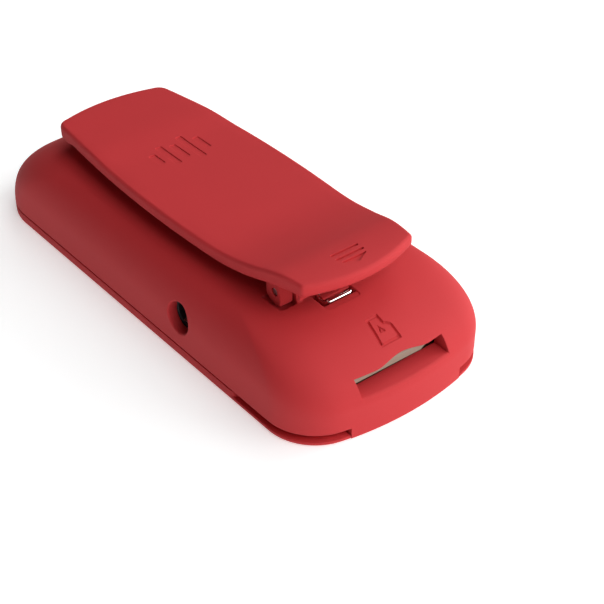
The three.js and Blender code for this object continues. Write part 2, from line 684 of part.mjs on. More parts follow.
function displayFrame() {
  const outer = block([-10.4, 10.4], [PANEL.y - 7.6, PANEL.y + 7.8], [1.28, 2.5]);
  const inner = block([-PANEL.halfWidth - 0.15, PANEL.halfWidth + 0.15],
    [PANEL.y - PANEL.halfLength - 0.15, PANEL.y + PANEL.halfLength + 0.15], [1, 3]);
  const flexGap = block([-4.4, 4.4], [PANEL.y + 5, PANEL.y + 9], [1.7, 3]);
  return cut(outer, inner, flexGap);
}

function boardScrew() {
  const head = rodAlongZ(1.2, 0, 0, [BOARD.top + 0.05, BOARD.top + 0.65], 12);
  const shank = rodAlongZ(0.5, 0, 0, [1.5, BOARD.top + 0.1], 10);
  const slot = (turn) => block([-0.7, 0.7], [-0.12, 0.12], [BOARD.top + 0.4, BOARD.top + 1])
    .rotate([0, 0, turn]);
  return cut(head.add(shank), slot(0), slot(90));
}

// ---------------------------------------------------------------- assembly

const player = new THREE.Group();

function addPiece(name, solid, material, parent = player) {
  const mesh = new THREE.Mesh(toGeometry(solid), material);
  mesh.name = name;
  parent.add(mesh);
  return mesh;
}

addPiece('back_cover', backCover(), RED);
addPiece('front_cover', frontCover(), RED);
addPiece('clip', clip(), RED);
const pinSpan = [-LUG.outer + 0.1, LUG.outer - 0.1];
addPiece('hinge_pin', rodAlongX(HINGE.pinRadius, pinSpan, HINGE.y, HINGE.z, 16), STEEL);
addPiece('hinge_spring', hingeSpring(), STEEL);

addPiece('circuit_board', circuitBoard(), BOARD_GREEN);
addPiece('battery', battery(), POUCH);
addPiece('battery_tape', block([-7, 7], [-1, 20], [BOARD.top + 0.05, 3.85]), FOAM);
addPiece('battery_board', block([-7, 7], [-5.4, -4.0], [4.6, 6.6]), BOARD_GREEN);
addPiece('battery_lead_red', batteryLead(6.1, -3.0), LEAD_RED);
addPiece('battery_lead_black', batteryLead(5.1, -4.6), BLACK);
addPiece('main_chip', block([0.4, 6.6], [-12.9, -6.7], [3.45, 4.3]), BLACK);
addPiece('memory_chip', block([5.3, 10.9], [-7.8, 1.8], [1.8, 2.55]), BLACK);
addPiece('tuner_chip', block([-9.4, -6.4], [-4.0, -1.0], [1.9, 2.55]), BLACK);
const crystal = roundedRectangle(3.2, 1.1, 1.0);
addPiece('crystal', prism(crystal, [BOARD.top + 0.05, 4.6]).translate([0, 26.4, 0]), NICKEL);

addPiece('display_window', prism(roundedRectangle(WINDOW.halfWidth, WINDOW.halfLength, 1.05), [0.1, 0.82])
  .translate([0, WINDOW.y, 0]), GLASS);
addPiece('display_panel', block([-PANEL.halfWidth, PANEL.halfWidth],
  [PANEL.y - PANEL.halfLength, PANEL.y + PANEL.halfLength], [1.28, 2.2]), GLASS);
addPiece('display_frame', displayFrame(), FOAM);
addPiece('display_flex', displayFlex(), AMBER);

addPiece('jack_housing', jackHousing(), BLACK);
addPiece('jack_contact', jackContact(), GOLD);
addPiece('usb_shell', usbShell(), NICKEL);
addPiece('usb_tongue', usbTongue(), BLACK);
addPiece('hold_switch', holdSwitch(), BLACK);
addPiece('hold_knob', holdKnob(), BLACK);

addPiece('card_socket_shell', socketShell(), NICKEL);
addPiece('card_socket_base', socketBase(), BEIGE);
addPiece('card_guide', cardGuide(), BEIGE);
addPiece('card_slider', cardSlider(), BLACK);
addPiece('card_spring', cardSpring(), STEEL);

for (const key of KEYS) {
  const place = new THREE.Group();
  place.position.set(0, key.y, 0);
  place.rotation.z = key.turn;
  player.add(place);
  addPiece(`${key.name}_key`, keySolid(key), BLACK, place);
  const dome = addPiece(`${key.name}_switch`, domeSwitch(), STEEL, place);
  dome.position.set(key.reach, 0, 0);
}

SCREW_SPOTS.forEach(([x, y], index) => {
  const screw = addPiece(`board_screw_${index + 1}`, boardScrew(), STEEL);
  screw.position.set(x, y, 0);
});

export default player;
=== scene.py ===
from contextlib import contextmanager
import math

import bmesh
import bpy
import numpy as np
from mathutils import Matrix, Vector
from mathutils.bvhtree import BVHTree
from mathutils.geometry import delaunay_2d_cdt

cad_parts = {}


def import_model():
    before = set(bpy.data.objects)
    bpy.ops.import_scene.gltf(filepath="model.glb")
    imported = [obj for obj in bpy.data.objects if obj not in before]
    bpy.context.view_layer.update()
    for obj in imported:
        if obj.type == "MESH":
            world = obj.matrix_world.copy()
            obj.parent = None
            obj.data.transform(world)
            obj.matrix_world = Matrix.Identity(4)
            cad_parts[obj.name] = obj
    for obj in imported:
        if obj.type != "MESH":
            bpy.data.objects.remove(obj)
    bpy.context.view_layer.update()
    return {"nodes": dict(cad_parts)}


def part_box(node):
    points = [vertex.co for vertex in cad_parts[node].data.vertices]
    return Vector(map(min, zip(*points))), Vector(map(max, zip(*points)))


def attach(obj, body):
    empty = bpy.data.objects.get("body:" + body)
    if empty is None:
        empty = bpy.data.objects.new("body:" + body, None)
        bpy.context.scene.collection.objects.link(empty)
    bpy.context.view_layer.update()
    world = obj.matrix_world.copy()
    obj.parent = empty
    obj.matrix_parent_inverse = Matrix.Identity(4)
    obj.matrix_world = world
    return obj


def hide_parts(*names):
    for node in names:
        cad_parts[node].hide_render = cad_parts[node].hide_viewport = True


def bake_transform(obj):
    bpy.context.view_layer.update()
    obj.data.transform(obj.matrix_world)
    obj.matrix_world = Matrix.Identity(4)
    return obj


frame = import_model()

# Shapes are worked out in millimetres in the frame's axes and scaled to metres when a piece is placed.
MM = 0.001


def cad(node):
    """Lowest and highest corner of a CAD node, in millimetres."""
    low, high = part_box(node)
    return np.array(low) / MM, np.array(high) / MM


def middle(node):
    low, high = cad(node)
    return (low + high) / 2


# ---- dimensions

CLIP_LOW, CLIP_HIGH = cad("clip")
PIN = middle("hinge_pin")
PIN_LOW, PIN_HIGH = cad("hinge_pin")
JACK = middle("jack_contact")
JACK_Z = cad("jack_housing")[0][2] + 2.5
USB_LOW, USB_HIGH = cad("usb_shell")
KNOB_LOW, KNOB_HIGH = cad("hold_knob")
HOLD_TRAVEL = 2.0

HALF_WIDTH = cad("back_cover")[1][0]
NEAR = cad("back_cover")[0][1]
FAR = cad("front_cover")[1][1]
HEIGHT = 9.6
WALL = 1.2
NEAR_END = {"sagitta": 2.45, "corner": 6.3, "start": 3.8, "inset": 12.1}
FAR_END = {"sagitta": 1.5, "corner": 8.3, "start": 1.2, "inset": 12.4}
SIDE = {"start": 4.8, "inset": 3.2}
FRONT_TOP = 1.35
BACK_BOTTOM = 1.45
SKIRT = 7.65
NOTCH = 7.75
GROOVE = {"bottom": 0.6, "depth": 0.9, "start": -19.5, "run": 0.9}

HINGE_Y = PIN[1]
HINGE_Z = PIN[2]
PIN_RADIUS = 0.42
BORE_RADIUS = 0.5
SLOT = {"left": -6.4, "right": 5.6, "ledge": 4.82, "top": 6.55, "arch": 3.6, "rise": 0.4, "back": -30.0}
GUIDE_LOW, GUIDE_HIGH = cad("card_guide")
POCKET = {"x": (-3.4, 1.0), "y": (-23.1, -19.9), "floor": 8.55}
SHELF = {"x": (-3.8, 1.4), "y": (-23.5, -22.35), "top": 9.42}
HOOK = {"x": (-1.9, 0.2), "y": (-21.45, -20.6), "top": 9.6}
HOOK_HEAD = (-2.7, 0.9)
LUG = {"x": (5.5, 7.2), "near": -19.85, "far": -17.45, "bottom": 9.55}
LUG_RECESS = {"x": (5.3, 7.45), "y": (-20.3, -16.95), "floor": 9.1}
KNUCKLES = [(-5.3, -4.5), (2.8, 5.3)]
HINGE_WIRE = 0.28
CARD_WIRE = 0.08
COIL_RADIUS = 0.98
JACK_FACE = -12.1
KEY_FLANGE = 1.32
SIGN_REACH = 6.1  # from the pad's middle to a sign on the ring of keys


# ---- meshes

def add_object(name, data):
    obj = bpy.data.objects.new(name, data)
    bpy.context.scene.collection.objects.link(obj)
    return obj


def make(name, points, faces):
    mesh = bpy.data.meshes.new(name)
    mesh.from_pydata([tuple(p) for p in points], [], faces)
    mesh.materials.append(None)
    mesh.materials.append(None)
    return add_object(name, mesh)


@contextmanager
def editing(mesh):
    """Opens a mesh for changes and writes them back."""
    work = bmesh.new()
    work.from_mesh(mesh)
    yield work
    work.to_mesh(mesh)
    work.free()


def walls(rings, closed=False):
    """Quads between each ring and the next, and between the last and the first where closed."""
    count = len(rings[0])
    faces = []
    for r in range(len(rings) if closed else len(rings) - 1):
        base = r * count
        after = (r + 1) % len(rings) * count
        for i in range(count):
            j = (i + 1) % count
            faces.append((base + i, base + j, after + j, after + i))
    return faces


def loft(name, rings):
    """Closed solid through rings of equally many points, capped flat at both ends."""
    count = len(rings[0])
    last = (len(rings) - 1) * count
    caps = [tuple(range(count - 1, -1, -1)), tuple(range(last, last + count))]
    return make(name, np.concatenate(rings), walls(rings) + caps)


def torus_loft(name, rings):
    """Closed solid through rings whose last one joins the first."""
    return make(name, np.concatenate(rings), walls(rings, closed=True))


def box(name, x, y, z, bevel=0.0, segments=3):
    """Box with its edges rounded over."""
    points = [(a, b, c) for c in z for b in y for a in x]
    faces = [(0, 2, 3, 1), (4, 5, 7, 6), (0, 1, 5, 4), (2, 6, 7, 3), (0, 4, 6, 2), (1, 3, 7, 5)]
    obj = make(name, points, faces)
    if bevel > 0:
        round_edges(obj, bevel, segments)
    return obj


def round_edges(obj, width, segments=3):
    """Rounds over every edge that turns by more than 30 degrees."""
    limit = math.radians(30)
    with editing(obj.data) as work:
        edges = [e for e in work.edges if len(e.link_faces) == 2 and e.calc_face_angle() > limit]
        bmesh.ops.bevel(work, geom=edges, offset=width, segments=segments, profile=0.5,
                        affect="EDGES", clamp_overlap=True)


def extrude(name, loop, low, high, bevel=0.0, axis="z", segments=3):
    """Prism over a 2-D loop. axis x takes (y, z) loops, y takes (x, z) and z takes (x, y)."""
    order = {"x": (2, 0, 1), "y": (0, 2, 1), "z": (0, 1, 2)}[axis]
    obj = loft(name, [raised(loop, level)[:, order] for level in (low, high)])
    if axis == "y":
        obj.data.flip_normals()
    if bevel > 0:
        round_edges(obj, bevel, segments)
    return obj


def bake(obj):
    """Applies an object's modifiers to its mesh."""
    graph = bpy.context.evaluated_depsgraph_get()
    mesh = bpy.data.meshes.new_from_object(obj.evaluated_get(graph))
    obj.modifiers.clear()
    obj.data = mesh


def boolean(obj, others, operation="DIFFERENCE"):
    for other in others:
        for face in other.data.polygons:
            face.material_index = 1
        modifier = obj.modifiers.new("boolean", "BOOLEAN")
        modifier.solver = "MANIFOLD"
        modifier.material_mode = "INDEX"
        modifier.operation = operation
        modifier.object = other
    bake(obj)
    for other in others:
        bpy.data.objects.remove(other)
    return obj


def shade(obj):
    """Smooth shading with creases, also where a cut meets the first surface."""
    obj.data.shade_smooth()
    obj.data.set_sharp_from_angle(angle=math.radians(32))
    with editing(obj.data) as work:
        for edge in work.edges:
            if len({face.material_index for face in edge.link_faces}) > 1:
                edge.smooth = False
        for face in work.faces:
            face.material_index = 0


def place(obj, body, material, nodes=()):
    """Scales a finished piece to metres, gives it its material and lets it ride on its body."""
    shade(obj)
    dress(obj, material)
    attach(obj, body)
    if nodes:
        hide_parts(*nodes)


def dress(obj, material):
    obj.data.transform(Matrix.Scale(MM, 4))
    obj.data.materials.clear()
    obj.data.materials.append(material)


def join(name, pieces):
    """One mesh object out of several."""
    obj = make(name, [], [])
    with editing(obj.data) as work:
        for piece in pieces:
            work.from_mesh(piece.data)
            bpy.data.objects.remove(piece)
    return obj


# ---- curves

def unit(vectors):
    return vectors / np.linalg.norm(vectors, axis=-1, keepdims=True)


def raised(flat, height):
    """Plane points with a height, or with one height each."""
    return np.column_stack([flat, np.broadcast_to(height, len(flat))])


def rolled(radius, count):
    """Pairs of inset and rise along a rounded edge, from its flat side to the wall."""
    angles = np.linspace(0, math.pi / 2, count)
    return list(zip(radius * (1 - np.sin(angles)), radius * (1 - np.cos(angles))))


def rectangle(low_x, high_x, low_y, high_y):
    return [(low_x, low_y), (high_x, low_y), (high_x, high_y), (low_x, high_y)]


def arc(centre, radius, start, end, count):
    angles = np.linspace(start, end, count)
    return np.column_stack([centre[0] + radius * np.cos(angles), centre[1] + radius * np.sin(angles)])


def circle(radius, count=48, centre=(0, 0)):
    return arc(centre, radius, 0, 2 * math.pi * (1 - 1 / count), count)


def rounded_rectangle(half_x, half_y, radius, count=6, centre=(0, 0)):
    x = half_x - radius
    y = half_y - radius
    corners = [(x, y), (-x, y), (-x, -y), (x, -y)]
    quarter = math.pi / 2
    parts = [arc(c, radius, k * quarter, (k + 1) * quarter, count) for k, c in enumerate(corners)]
    return np.concatenate(parts) + np.array(centre)


def rounded_between(low, high, radius, count=6):
    """Rounded rectangle from its lowest to its highest corner."""
    low, high = np.array(low), np.array(high)
    return rounded_rectangle(*(high - low) / 2, radius, count, (high + low) / 2)


def round_corners(points, radius, count=5):
    """Closed polygon with every corner turned into an arc."""
    points = np.array(points, float)
    out = []
    for i, corner in enumerate(points):
        before = unit(points[i - 1] - corner)
        after = unit(points[(i + 1) % len(points)] - corner)
        turn = math.pi - math.acos(np.clip(before @ after, -1, 1))
        if turn < 0.3:
            out.append(corner)
            continue
        tangent = radius * math.tan(turn / 2)
        centre = corner + unit(before + after) * radius / math.cos(turn / 2)
        first = corner + before * tangent - centre
        last = corner + after * tangent - centre
        a = math.atan2(first[1], first[0])
        b = math.atan2(last[1], last[0])
        b = a + (b - a + math.pi) % (2 * math.pi) - math.pi
        out.extend(arc(centre, radius, a, b, count))
    return np.array(out)


def subdivide(loop, step):
    """The same loop with no edge longer than step."""
    out = []
    for a, b in zip(loop, np.roll(loop, -1, axis=0)):
        count = max(1, math.ceil(np.linalg.norm(b - a) / step))
        out.extend(a + (b - a) * k / count for k in range(count))
    return np.array(out)


def outward(loop):
    """Unit outward normals of a counter-clockwise loop."""
    along = np.roll(loop, -1, axis=0) - np.roll(loop, 1, axis=0)
    return unit(np.column_stack([along[:, 1], -along[:, 0]]))


def spline(knots):
    """Cubic curve through (x, value) knots, in rising x."""
    x, v = np.array(knots, float).T
    slope = np.gradient(v, x)
    flat = np.isclose(np.diff(v), 0)
    slope[:-1][flat] = 0
    slope[1:][flat] = 0

    def value(at):
        at = np.clip(np.asarray(at, float), x[0], x[-1])
        k = np.clip(np.searchsorted(x, at, side="right") - 1, 0, len(x) - 2)
        h = x[k + 1] - x[k]
        t = (at - x[k]) / h
        return ((2 * t**3 - 3 * t**2 + 1) * v[k] + (t**3 - 2 * t**2 + t) * h * slope[k]
                + (-2 * t**3 + 3 * t**2) * v[k + 1] + (t**3 - t**2) * h * slope[k + 1])

    return value


# ---- recesses that follow a surface

class Skin:
    """Surface of a finished shell, for cutters that follow it."""

    AXES = {
        "+x": ((0, 1, 0), (0, 0, 1), (1, 0, 0)),
        "-x": ((0, -1, 0), (0, 0, 1), (-1, 0, 0)),
        "-y": ((1, 0, 0), (0, 0, 1), (0, -1, 0)),
        "+z": ((1, 0, 0), (0, 1, 0), (0, 0, 1)),
        "-z": ((1, 0, 0), (0, -1, 0), (0, 0, -1)),
    }

    def __init__(self, obj):
        mesh = obj.data
        self.tree = BVHTree.FromPolygons(
            [v.co.copy() for v in mesh.vertices], [tuple(p.vertices) for p in mesh.polygons])

    def lift(self, flat, height, side):
        """Points in space from points of a side's plane and their heights along its outward axis."""
        u, v, w = np.array(self.AXES[side], float)
        return flat[:, :1] * u + flat[:, 1:] * v + np.reshape(height, (-1, 1)) * w

    def height(self, flat, side):
        """Height of the surface on a side, at points of that side's plane."""
        u, v, w = np.array(self.AXES[side], float)
        out = []
        for a, b in flat:
            start = a * u + b * v + 60 * w
            hit = self.tree.ray_cast(Vector(start), Vector(-w))[0]
            out.append(np.array(hit) @ w if hit else np.nan)
        out = np.array(out)
        known = ~np.isnan(out)
        out[~known] = out[known].min()
        return out

    def recess(self, loop, side, radius, depth=None, floor=None, step=0.5):
        """Solid that cuts a recess with a rolled rim: to a depth under the surface or to a floor.

        The rim radius is a number, or a function that gives one for each point of the loop.
        """
        loop = subdivide(np.asarray(loop, float), step)
        normal = outward(loop)
        rim = radius(loop) if callable(radius) else np.full(len(loop), radius)
        surface = self.height(loop, side)
        bottom = surface - depth if depth else floor
        rings = [self.lift(loop, bottom, side)]
        for angle in np.radians([90, 68, 48, 30, 12]):
            flat = loop + normal * rim[:, None] * (1 - math.sin(angle))
            level = self.height(flat, side) - rim * (1 - math.cos(angle))
            rings.append(self.lift(flat, level, side))
        rings.append(self.lift(flat, surface.max() + 1.0, side))
        return loft("cutter", rings)

    def groove(self, path, side, width, depth, step=0.4):
        """Solid that engraves a line of constant width along a closed path."""
        path = subdivide(np.asarray(path, float), step)
        normal = outward(path)
        before = unit(path - np.roll(path, 1, axis=0))
        across = np.column_stack([-before[:, 1], before[:, 0]])
        mitre = 1 / np.clip(np.abs((normal * across).sum(axis=1)), 0.4, 1)
        half = width / 2
        profile = [(-half - 0.04, 0.3), (-half - 0.04, 0.0), (-half + 0.02, -depth * 0.5),
                   (-half * 0.4, -depth), (half * 0.4, -depth), (half - 0.02, -depth * 0.5),
                   (half + 0.04, 0.0), (half + 0.04, 0.3)]
        surface = self.height(path, side)
        return torus_loft("cutter", [
            self.lift(path + normal * (mitre * offset)[:, None], surface + rise, side)
            for offset, rise in profile])


# ---- body outline

def end_arc(half_width, end, inset):
    """Measures of a bowed end: its arc, its corner radius and where the two meet."""
    corner = end["corner"] - 0.8 * inset
    radius = (half_width**2 + end["sagitta"] ** 2) / (2 * end["sagitta"])
    across = half_width - corner
    along = math.sqrt((radius - corner) ** 2 - across**2)
    return {"radius": radius, "corner": corner, "across": across, "back": radius - along,
            "swing": math.atan2(across, along)}


def near_fractions():
    """Samples of the near end arc, with pairs of them at the edges of the skirt and its notch."""
    end = end_arc(HALF_WIDTH, NEAR_END, 0)
    steps = []
    for x in (SKIRT, NOTCH):
        fraction = math.asin(x / end["radius"]) / end["swing"]
        steps.extend([fraction - 0.0015, fraction + 0.0015])
    base = [f for f in np.linspace(-1, 1, 64) if min(abs(abs(f) - s) for s in steps) > 0.006]
    return np.array(sorted(base + steps + [-s for s in steps]))


NEAR_FRACTIONS = near_fractions()


def outline(inset):
    """Plan of the body at an inset, counter-clockwise from the near end."""
    half_width = HALF_WIDTH - inset
    near_y = NEAR + inset
    far_y = FAR - inset
    near = end_arc(half_width, NEAR_END, inset)
    far = end_arc(half_width, FAR_END, inset)
    quarter = math.pi / 2
    angles = -quarter + NEAR_FRACTIONS * near["swing"]
    end = np.column_stack([near["radius"] * np.cos(angles),
                           near_y + near["radius"] + near["radius"] * np.sin(angles)])
    right_near = arc((near["across"], near_y + near["back"]), near["corner"],
                     -quarter + near["swing"], 0, 24)[1:]
    right_far = arc((far["across"], far_y - far["back"]), far["corner"],
                    0, quarter - far["swing"], 24)
    side_y = np.linspace(right_near[-1][1], right_far[0][1], 84)[1:-1]
    right = np.concatenate([right_near, [(half_width, y) for y in side_y], right_far])
    far_end = arc((0, far_y - far["radius"]), far["radius"],
                  quarter - far["swing"], quarter + far["swing"], 44)[1:-1]
    return np.concatenate([end, right, far_end, right[:0:-1] * (-1, 1)])


def crown(z, end, height):
    """How far a wall leans in at a height, on a quarter of an ellipse."""
    rise = np.clip((z - end["start"]) / (height - end["start"]), 0, 1)
    return end["inset"] * (1 - np.sqrt(1 - rise**2))


def body_ring(inset, z, height=HEIGHT):
    """Ring of the body's wall at a height, leaning in over the sides and the ends."""
    flat = outline(inset)
    z = np.broadcast_to(np.asarray(z, float), len(flat))
    half_width = HALF_WIDTH - inset
    near = NEAR + inset
    far = FAR - inset
    along = (flat[:, 1] - near) / (far - near)
    near_shift = crown(z, NEAR_END, height)
    far_shift = crown(z, FAR_END, height)
    x = flat[:, 0] * (1 - crown(z, SIDE, height) / half_width)
    y = near + near_shift + along * (far - near - near_shift - far_shift)
    return np.column_stack([x, y, z])


# ---- back cover

def near_band(half_width):
    """Which points of the outline are at the near end, within a half width of the middle."""
    plan = outline(0)
    return (plan[:, 1] < -30) & (np.abs(plan[:, 0]) < half_width)


def back_shell():
    """Hollow shell in one loft: down the inside, over the rim and up the outside."""
    rim = np.where(near_band(SKIRT), 0.06, BACK_BOTTOM)
    rings = []
    roof = HEIGHT - WALL
    for t in np.linspace(1, 0, 16):
        z = 1.6 + (roof - 1.6) * math.sin(t * math.pi / 2)
        ring = body_ring(WALL, z, roof)
        if z > 3.0:
            ring[:, 1] = np.maximum(ring[:, 1], SLOT["back"] + 0.002 * ring[:, 2])
        rings.append(ring)
    rings.append(body_ring(WALL, rim))
    for inset, lift in ((0.16, 0.0), (0.1, 0.015), (0.045, 0.05), (0.01, 0.11), (0.0, 0.18)):
        rings.append(body_ring(inset, rim + lift))
    start = 1.75
    for t in np.linspace(0, 1, 52):
        rings.append(body_ring(0, start + (HEIGHT - start) * math.sin(t * math.pi / 2)))
    return loft("back_shell", rings)


def slot_arch(x):
    """Upper edge of the card slot, with the shallow finger arch over its middle."""
    share = np.clip(np.abs(x) / SLOT["arch"], 0, 1)
    return SLOT["top"] + SLOT["rise"] * (0.5 + 0.5 * np.cos(math.pi * share)) ** 0.8


def slot_loop():
    """Outline of the card slot in the end wall, as (x, z)."""
    left, right = SLOT["left"], SLOT["right"]
    x = np.linspace(SLOT["arch"], -SLOT["arch"], 25)
    top = np.column_stack([x, slot_arch(x)])
    corners = np.array([(left, SLOT["ledge"]), (right, SLOT["ledge"]), (right, SLOT["top"])])
    return np.concatenate([corners, top, [(left, SLOT["top"])]])


def slot_rim(loop):
    """Rim radius round the slot: broad along the ledge, tight everywhere else."""
    return np.where(loop[:, 1] < SLOT["ledge"] + 0.01, 0.3, 0.1)


def knuckle(span):
    """Hinge eye of the back cover, on a flared foot."""
    y, z = HINGE_Y, HINGE_Z
    radius = 1.15
    loop = [(y - 1.75, 9.3), (y + 1.75, 9.3), (y + 1.35, 9.85), (y + radius, 10.5)]
    loop += [tuple(p) for p in arc((y, z), radius, 0, math.pi, 20)]
    loop += [(y - radius, 10.5), (y - 1.35, 9.85)]
    return extrude("knuckle", np.array(loop), *span, bevel=0.1, axis="x", segments=2)


def build_back():
    shell = back_shell()
    skin = Skin(shell)
    pocket_floor = box("pocket_floor", (-4.6, 2.2), (-24.3, -18.8), (7.4, 9.1))
    boolean(shell, [pocket_floor], "UNION")
    pocket = rounded_between(*zip(POCKET["x"], POCKET["y"]), 0.3)
    hold_centre = (KNOB_LOW[1] + KNOB_HIGH[1]) / 2 + HOLD_TRAVEL / 2, (KNOB_LOW[2] + KNOB_HIGH[2]) / 2
    boolean(shell, [
        skin.recess(slot_loop(), "-y", slot_rim, floor=-SLOT["back"] - 1.0, step=0.3),
        skin.recess(circle(1.87, 64, centre=(-JACK[1], JACK_Z)), "-x", 0.22, floor=11.6, step=1),
        extrude("counterbore", circle(2.3, 64, (JACK[1], JACK_Z)), JACK_FACE - 0.25, -11, axis="x"),
        skin.recess(rounded_between(USB_LOW[1:] - 0.25, USB_HIGH[1:] + 0.25, 0.7, 8),
                    "+x", 0.18, floor=11.9),
        skin.recess(rounded_rectangle(2.3, 0.8, 0.3, 8, hold_centre), "+x", 0.18, floor=11.9),
        skin.recess(pocket, "+z", 0.22, floor=POCKET["floor"], step=0.3),
        skin.groove(card_mark(), "+z", 0.32, 0.2, step=0.15),
        skin.groove(card_arrow(), "+z", 0.16, 0.14, step=0.15),
    ] + [skin.recess(lug_recess(side), "+z", 0.12, floor=LUG_RECESS["floor"], step=0.4)
         for side in (-1, 1)])
    foot, top = POCKET["floor"] - 0.3, HOOK["top"]
    boolean(shell, [
        box("hook", HOOK["x"], HOOK["y"], (foot, top - 0.1), 0.12),
        box("hook_head", HOOK_HEAD, HOOK["y"], (top - 0.3, top), 0.1),
        box("shelf", SHELF["x"], SHELF["y"], (foot, SHELF["top"]), 0.12),
    ] + [knuckle(span) for span in KNUCKLES], "UNION")
    bore = extrude("bore", circle(BORE_RADIUS, 32, (HINGE_Y, HINGE_Z)), -6, 6, axis="x")
    return boolean(shell, [bore])


def lug_recess(side):
    """Shallow recess in the back that clears a clip lug."""
    return rounded_between(*zip(sorted(side * x for x in LUG_RECESS["x"]), LUG_RECESS["y"]), 0.35)


def card_mark():
    """Outline of a memory card with a notched corner."""
    return np.array([(-1.6, -29.62), (0.92, -29.6), (0.97, -28.0), (0.6, -27.66),
                     (0.32, -27.6), (0.34, -26.52), (-1.0, -26.56)])


def card_arrow():
    return np.array([(-0.72, -28.35), (-0.12, -28.35), (-0.42, -27.75)])


# ---- front cover

def front_shell():
    """Shallow shell in one loft: up the outside, past the pry groove, over the rim and down the inside."""
    notch = near_band(NOTCH)
    run = np.clip((GROOVE["start"] - outline(0)[:, 1]) / GROOVE["run"], 0, 1)
    groove = run * run * (3 - 2 * run)

    def ring(inset, z, cut=0.0):
        whole = body_ring(inset, z)
        if cut > 0:
            deep = body_ring(max(inset, cut), z)
            whole += (deep - whole) * groove[:, None]
        limit = -31.2 + 0.03 * inset
        whole[:, 1] = np.where(notch, np.maximum(whole[:, 1], limit), whole[:, 1])
        return whole

    floor, deepest = GROOVE["bottom"], GROOVE["depth"]
    lip = WALL + 0.2
    steps = rolled(0.4, 7) + [
        (0.0, floor - 0.08), (0.0, floor - 0.02 * groove, 0.03), (0.0, floor + 0.06 * (1 - groove), 0.09),
        (0.0, floor + 0.12 * (1 - groove), deepest), (0.0, FRONT_TOP - 0.1, deepest),
        (0.03, FRONT_TOP - 0.03, deepest + 0.03), (0.1, FRONT_TOP, deepest + 0.1),
        (lip, FRONT_TOP), (lip, 2.02), (lip + 0.08, 2.1), (WALL + 1.0, 2.1), (WALL + 1.0, 1.2),
    ]
    return loft("front_shell", [ring(*step) for step in steps])


def ring_key(grow):
    """Quarter of the round pad, pointing along +X from the pad's centre."""
    swing = 0.66 + grow / 6
    outer = arc((0, 0), 8.2 + grow, -swing, swing, 28)
    inner = arc((0, 0), 4.0 - grow, swing, -swing, 14)
    return round_corners(np.concatenate([outer, inner]), 0.12, 3)


def menu_key(grow):
    return rounded_rectangle(3.4 + grow, 1.3 + grow, (1.3 + grow) * 0.9, 10)


PAD = middle("play_key")[:2]
KEYS = {
    "play": (lambda grow: circle(3.0 + grow, 56), middle("play_key")[:2], 0),
    "menu": (menu_key, middle("menu_key")[:2], 0),
    "next": (ring_key, PAD, 0),
    "previous": (ring_key, PAD, math.pi),
    "louder": (ring_key, PAD, -math.pi / 2),
    "softer": (ring_key, PAD, math.pi / 2),
}


def turned(loop, angle, centre):
    c, s = math.cos(angle), math.sin(angle)
    return np.asarray(loop) @ np.array([(c, s), (-s, c)]) + np.asarray(centre)


def below(loop):
    """The same loop for a cutter that works from underneath, where the second axis is -Y."""
    return (np.asarray(loop) * (1, -1))[::-1]


def build_front():
    shell = front_shell()
    skin = Skin(shell)
    low, high = cad("display_window")
    cutters = [
        skin.recess(below(rounded_between(low[:2] - 0.12, high[:2] + 0.12, 1.15, 8)),
                    "-z", 0.08, floor=-0.9, step=2),
        extrude("cutter", rounded_rectangle(9.0, 6.2, 0.5, 5, middle("display_window")[:2]), 0.5, 3),
    ]
    for shape, at, angle in KEYS.values():
        cutters.append(skin.recess(below(turned(shape(0.2), angle, at)), "-z", 0.12, floor=-2.0, step=2))
    return boolean(shell, cutters)


# ---- keys

def key(shape, low, high):
    """Key cap with a rounded face, facing down, on its wider flange."""
    steps = [(-inset, low + rise) for inset, rise in rolled(0.22, 6)]
    steps += [(0.0, KEY_FLANGE), (0.4, KEY_FLANGE + 0.01), (0.4, high)]
    return loft("key", [raised(shape(grow), z) for grow, z in steps])


def symbols():
    """Raised print on the keys: plain transport and level signs, as loops about each key's middle."""
    right = [(-0.55, -0.6), (0.5, 0.0), (-0.55, 0.6)]
    bar = rectangle(0.55, 0.75, -0.6, 0.6)
    minus = rectangle(-0.1, 0.1, -0.7, 0.7)
    plus = [(-0.7, -0.1), (-0.1, -0.1), (-0.1, -0.7), (0.1, -0.7), (0.1, -0.1), (0.7, -0.1),
            (0.7, 0.1), (0.1, 0.1), (0.1, 0.7), (-0.1, 0.7), (-0.1, 0.1), (-0.7, 0.1)]
    lines = [rectangle(-0.8, 0.8, y - 0.09, y + 0.09) for y in (-0.45, 0, 0.45)]
    pause = [rectangle(x, x + 0.22, -0.6, 0.6) for x in (0.65, 1.1)]
    return {
        "play": [[(x - 0.45, y) for x, y in right]] + pause,
        "menu": lines,
        "next": [right, bar],
        "previous": [right, bar],
        "louder": [plus],
        "softer": [minus],
    }


# ---- clip

CLIP_TOP = spline([(-27, 14.4), (-23.5, 14.78), (-20.6, 14.68), (-16.9, 13.82), (-12.9, 13.11),
                   (-8.9, 12.9), (-4, 12.9), (9, 12.9), (14, 13.09), (19, 12.97), (23, 12.85), (27, 12.8)])
CLIP_UNDER = spline([(-27, 13.15), (-23, 13.2), (-20, 12.85), (-15, 11.8), (-10.5, 11.4),
                     (0, 11.4), (19.5, 11.4), (21.5, 10.95), (27, 10.95)])


def bezier(a, control, b, count):
    t = np.linspace(0, 1, count)[:, None]
    a, control, b = (np.array(p, float) for p in (a, control, b))
    return (1 - t) ** 2 * a + 2 * t * (1 - t) * control + t**2 * b


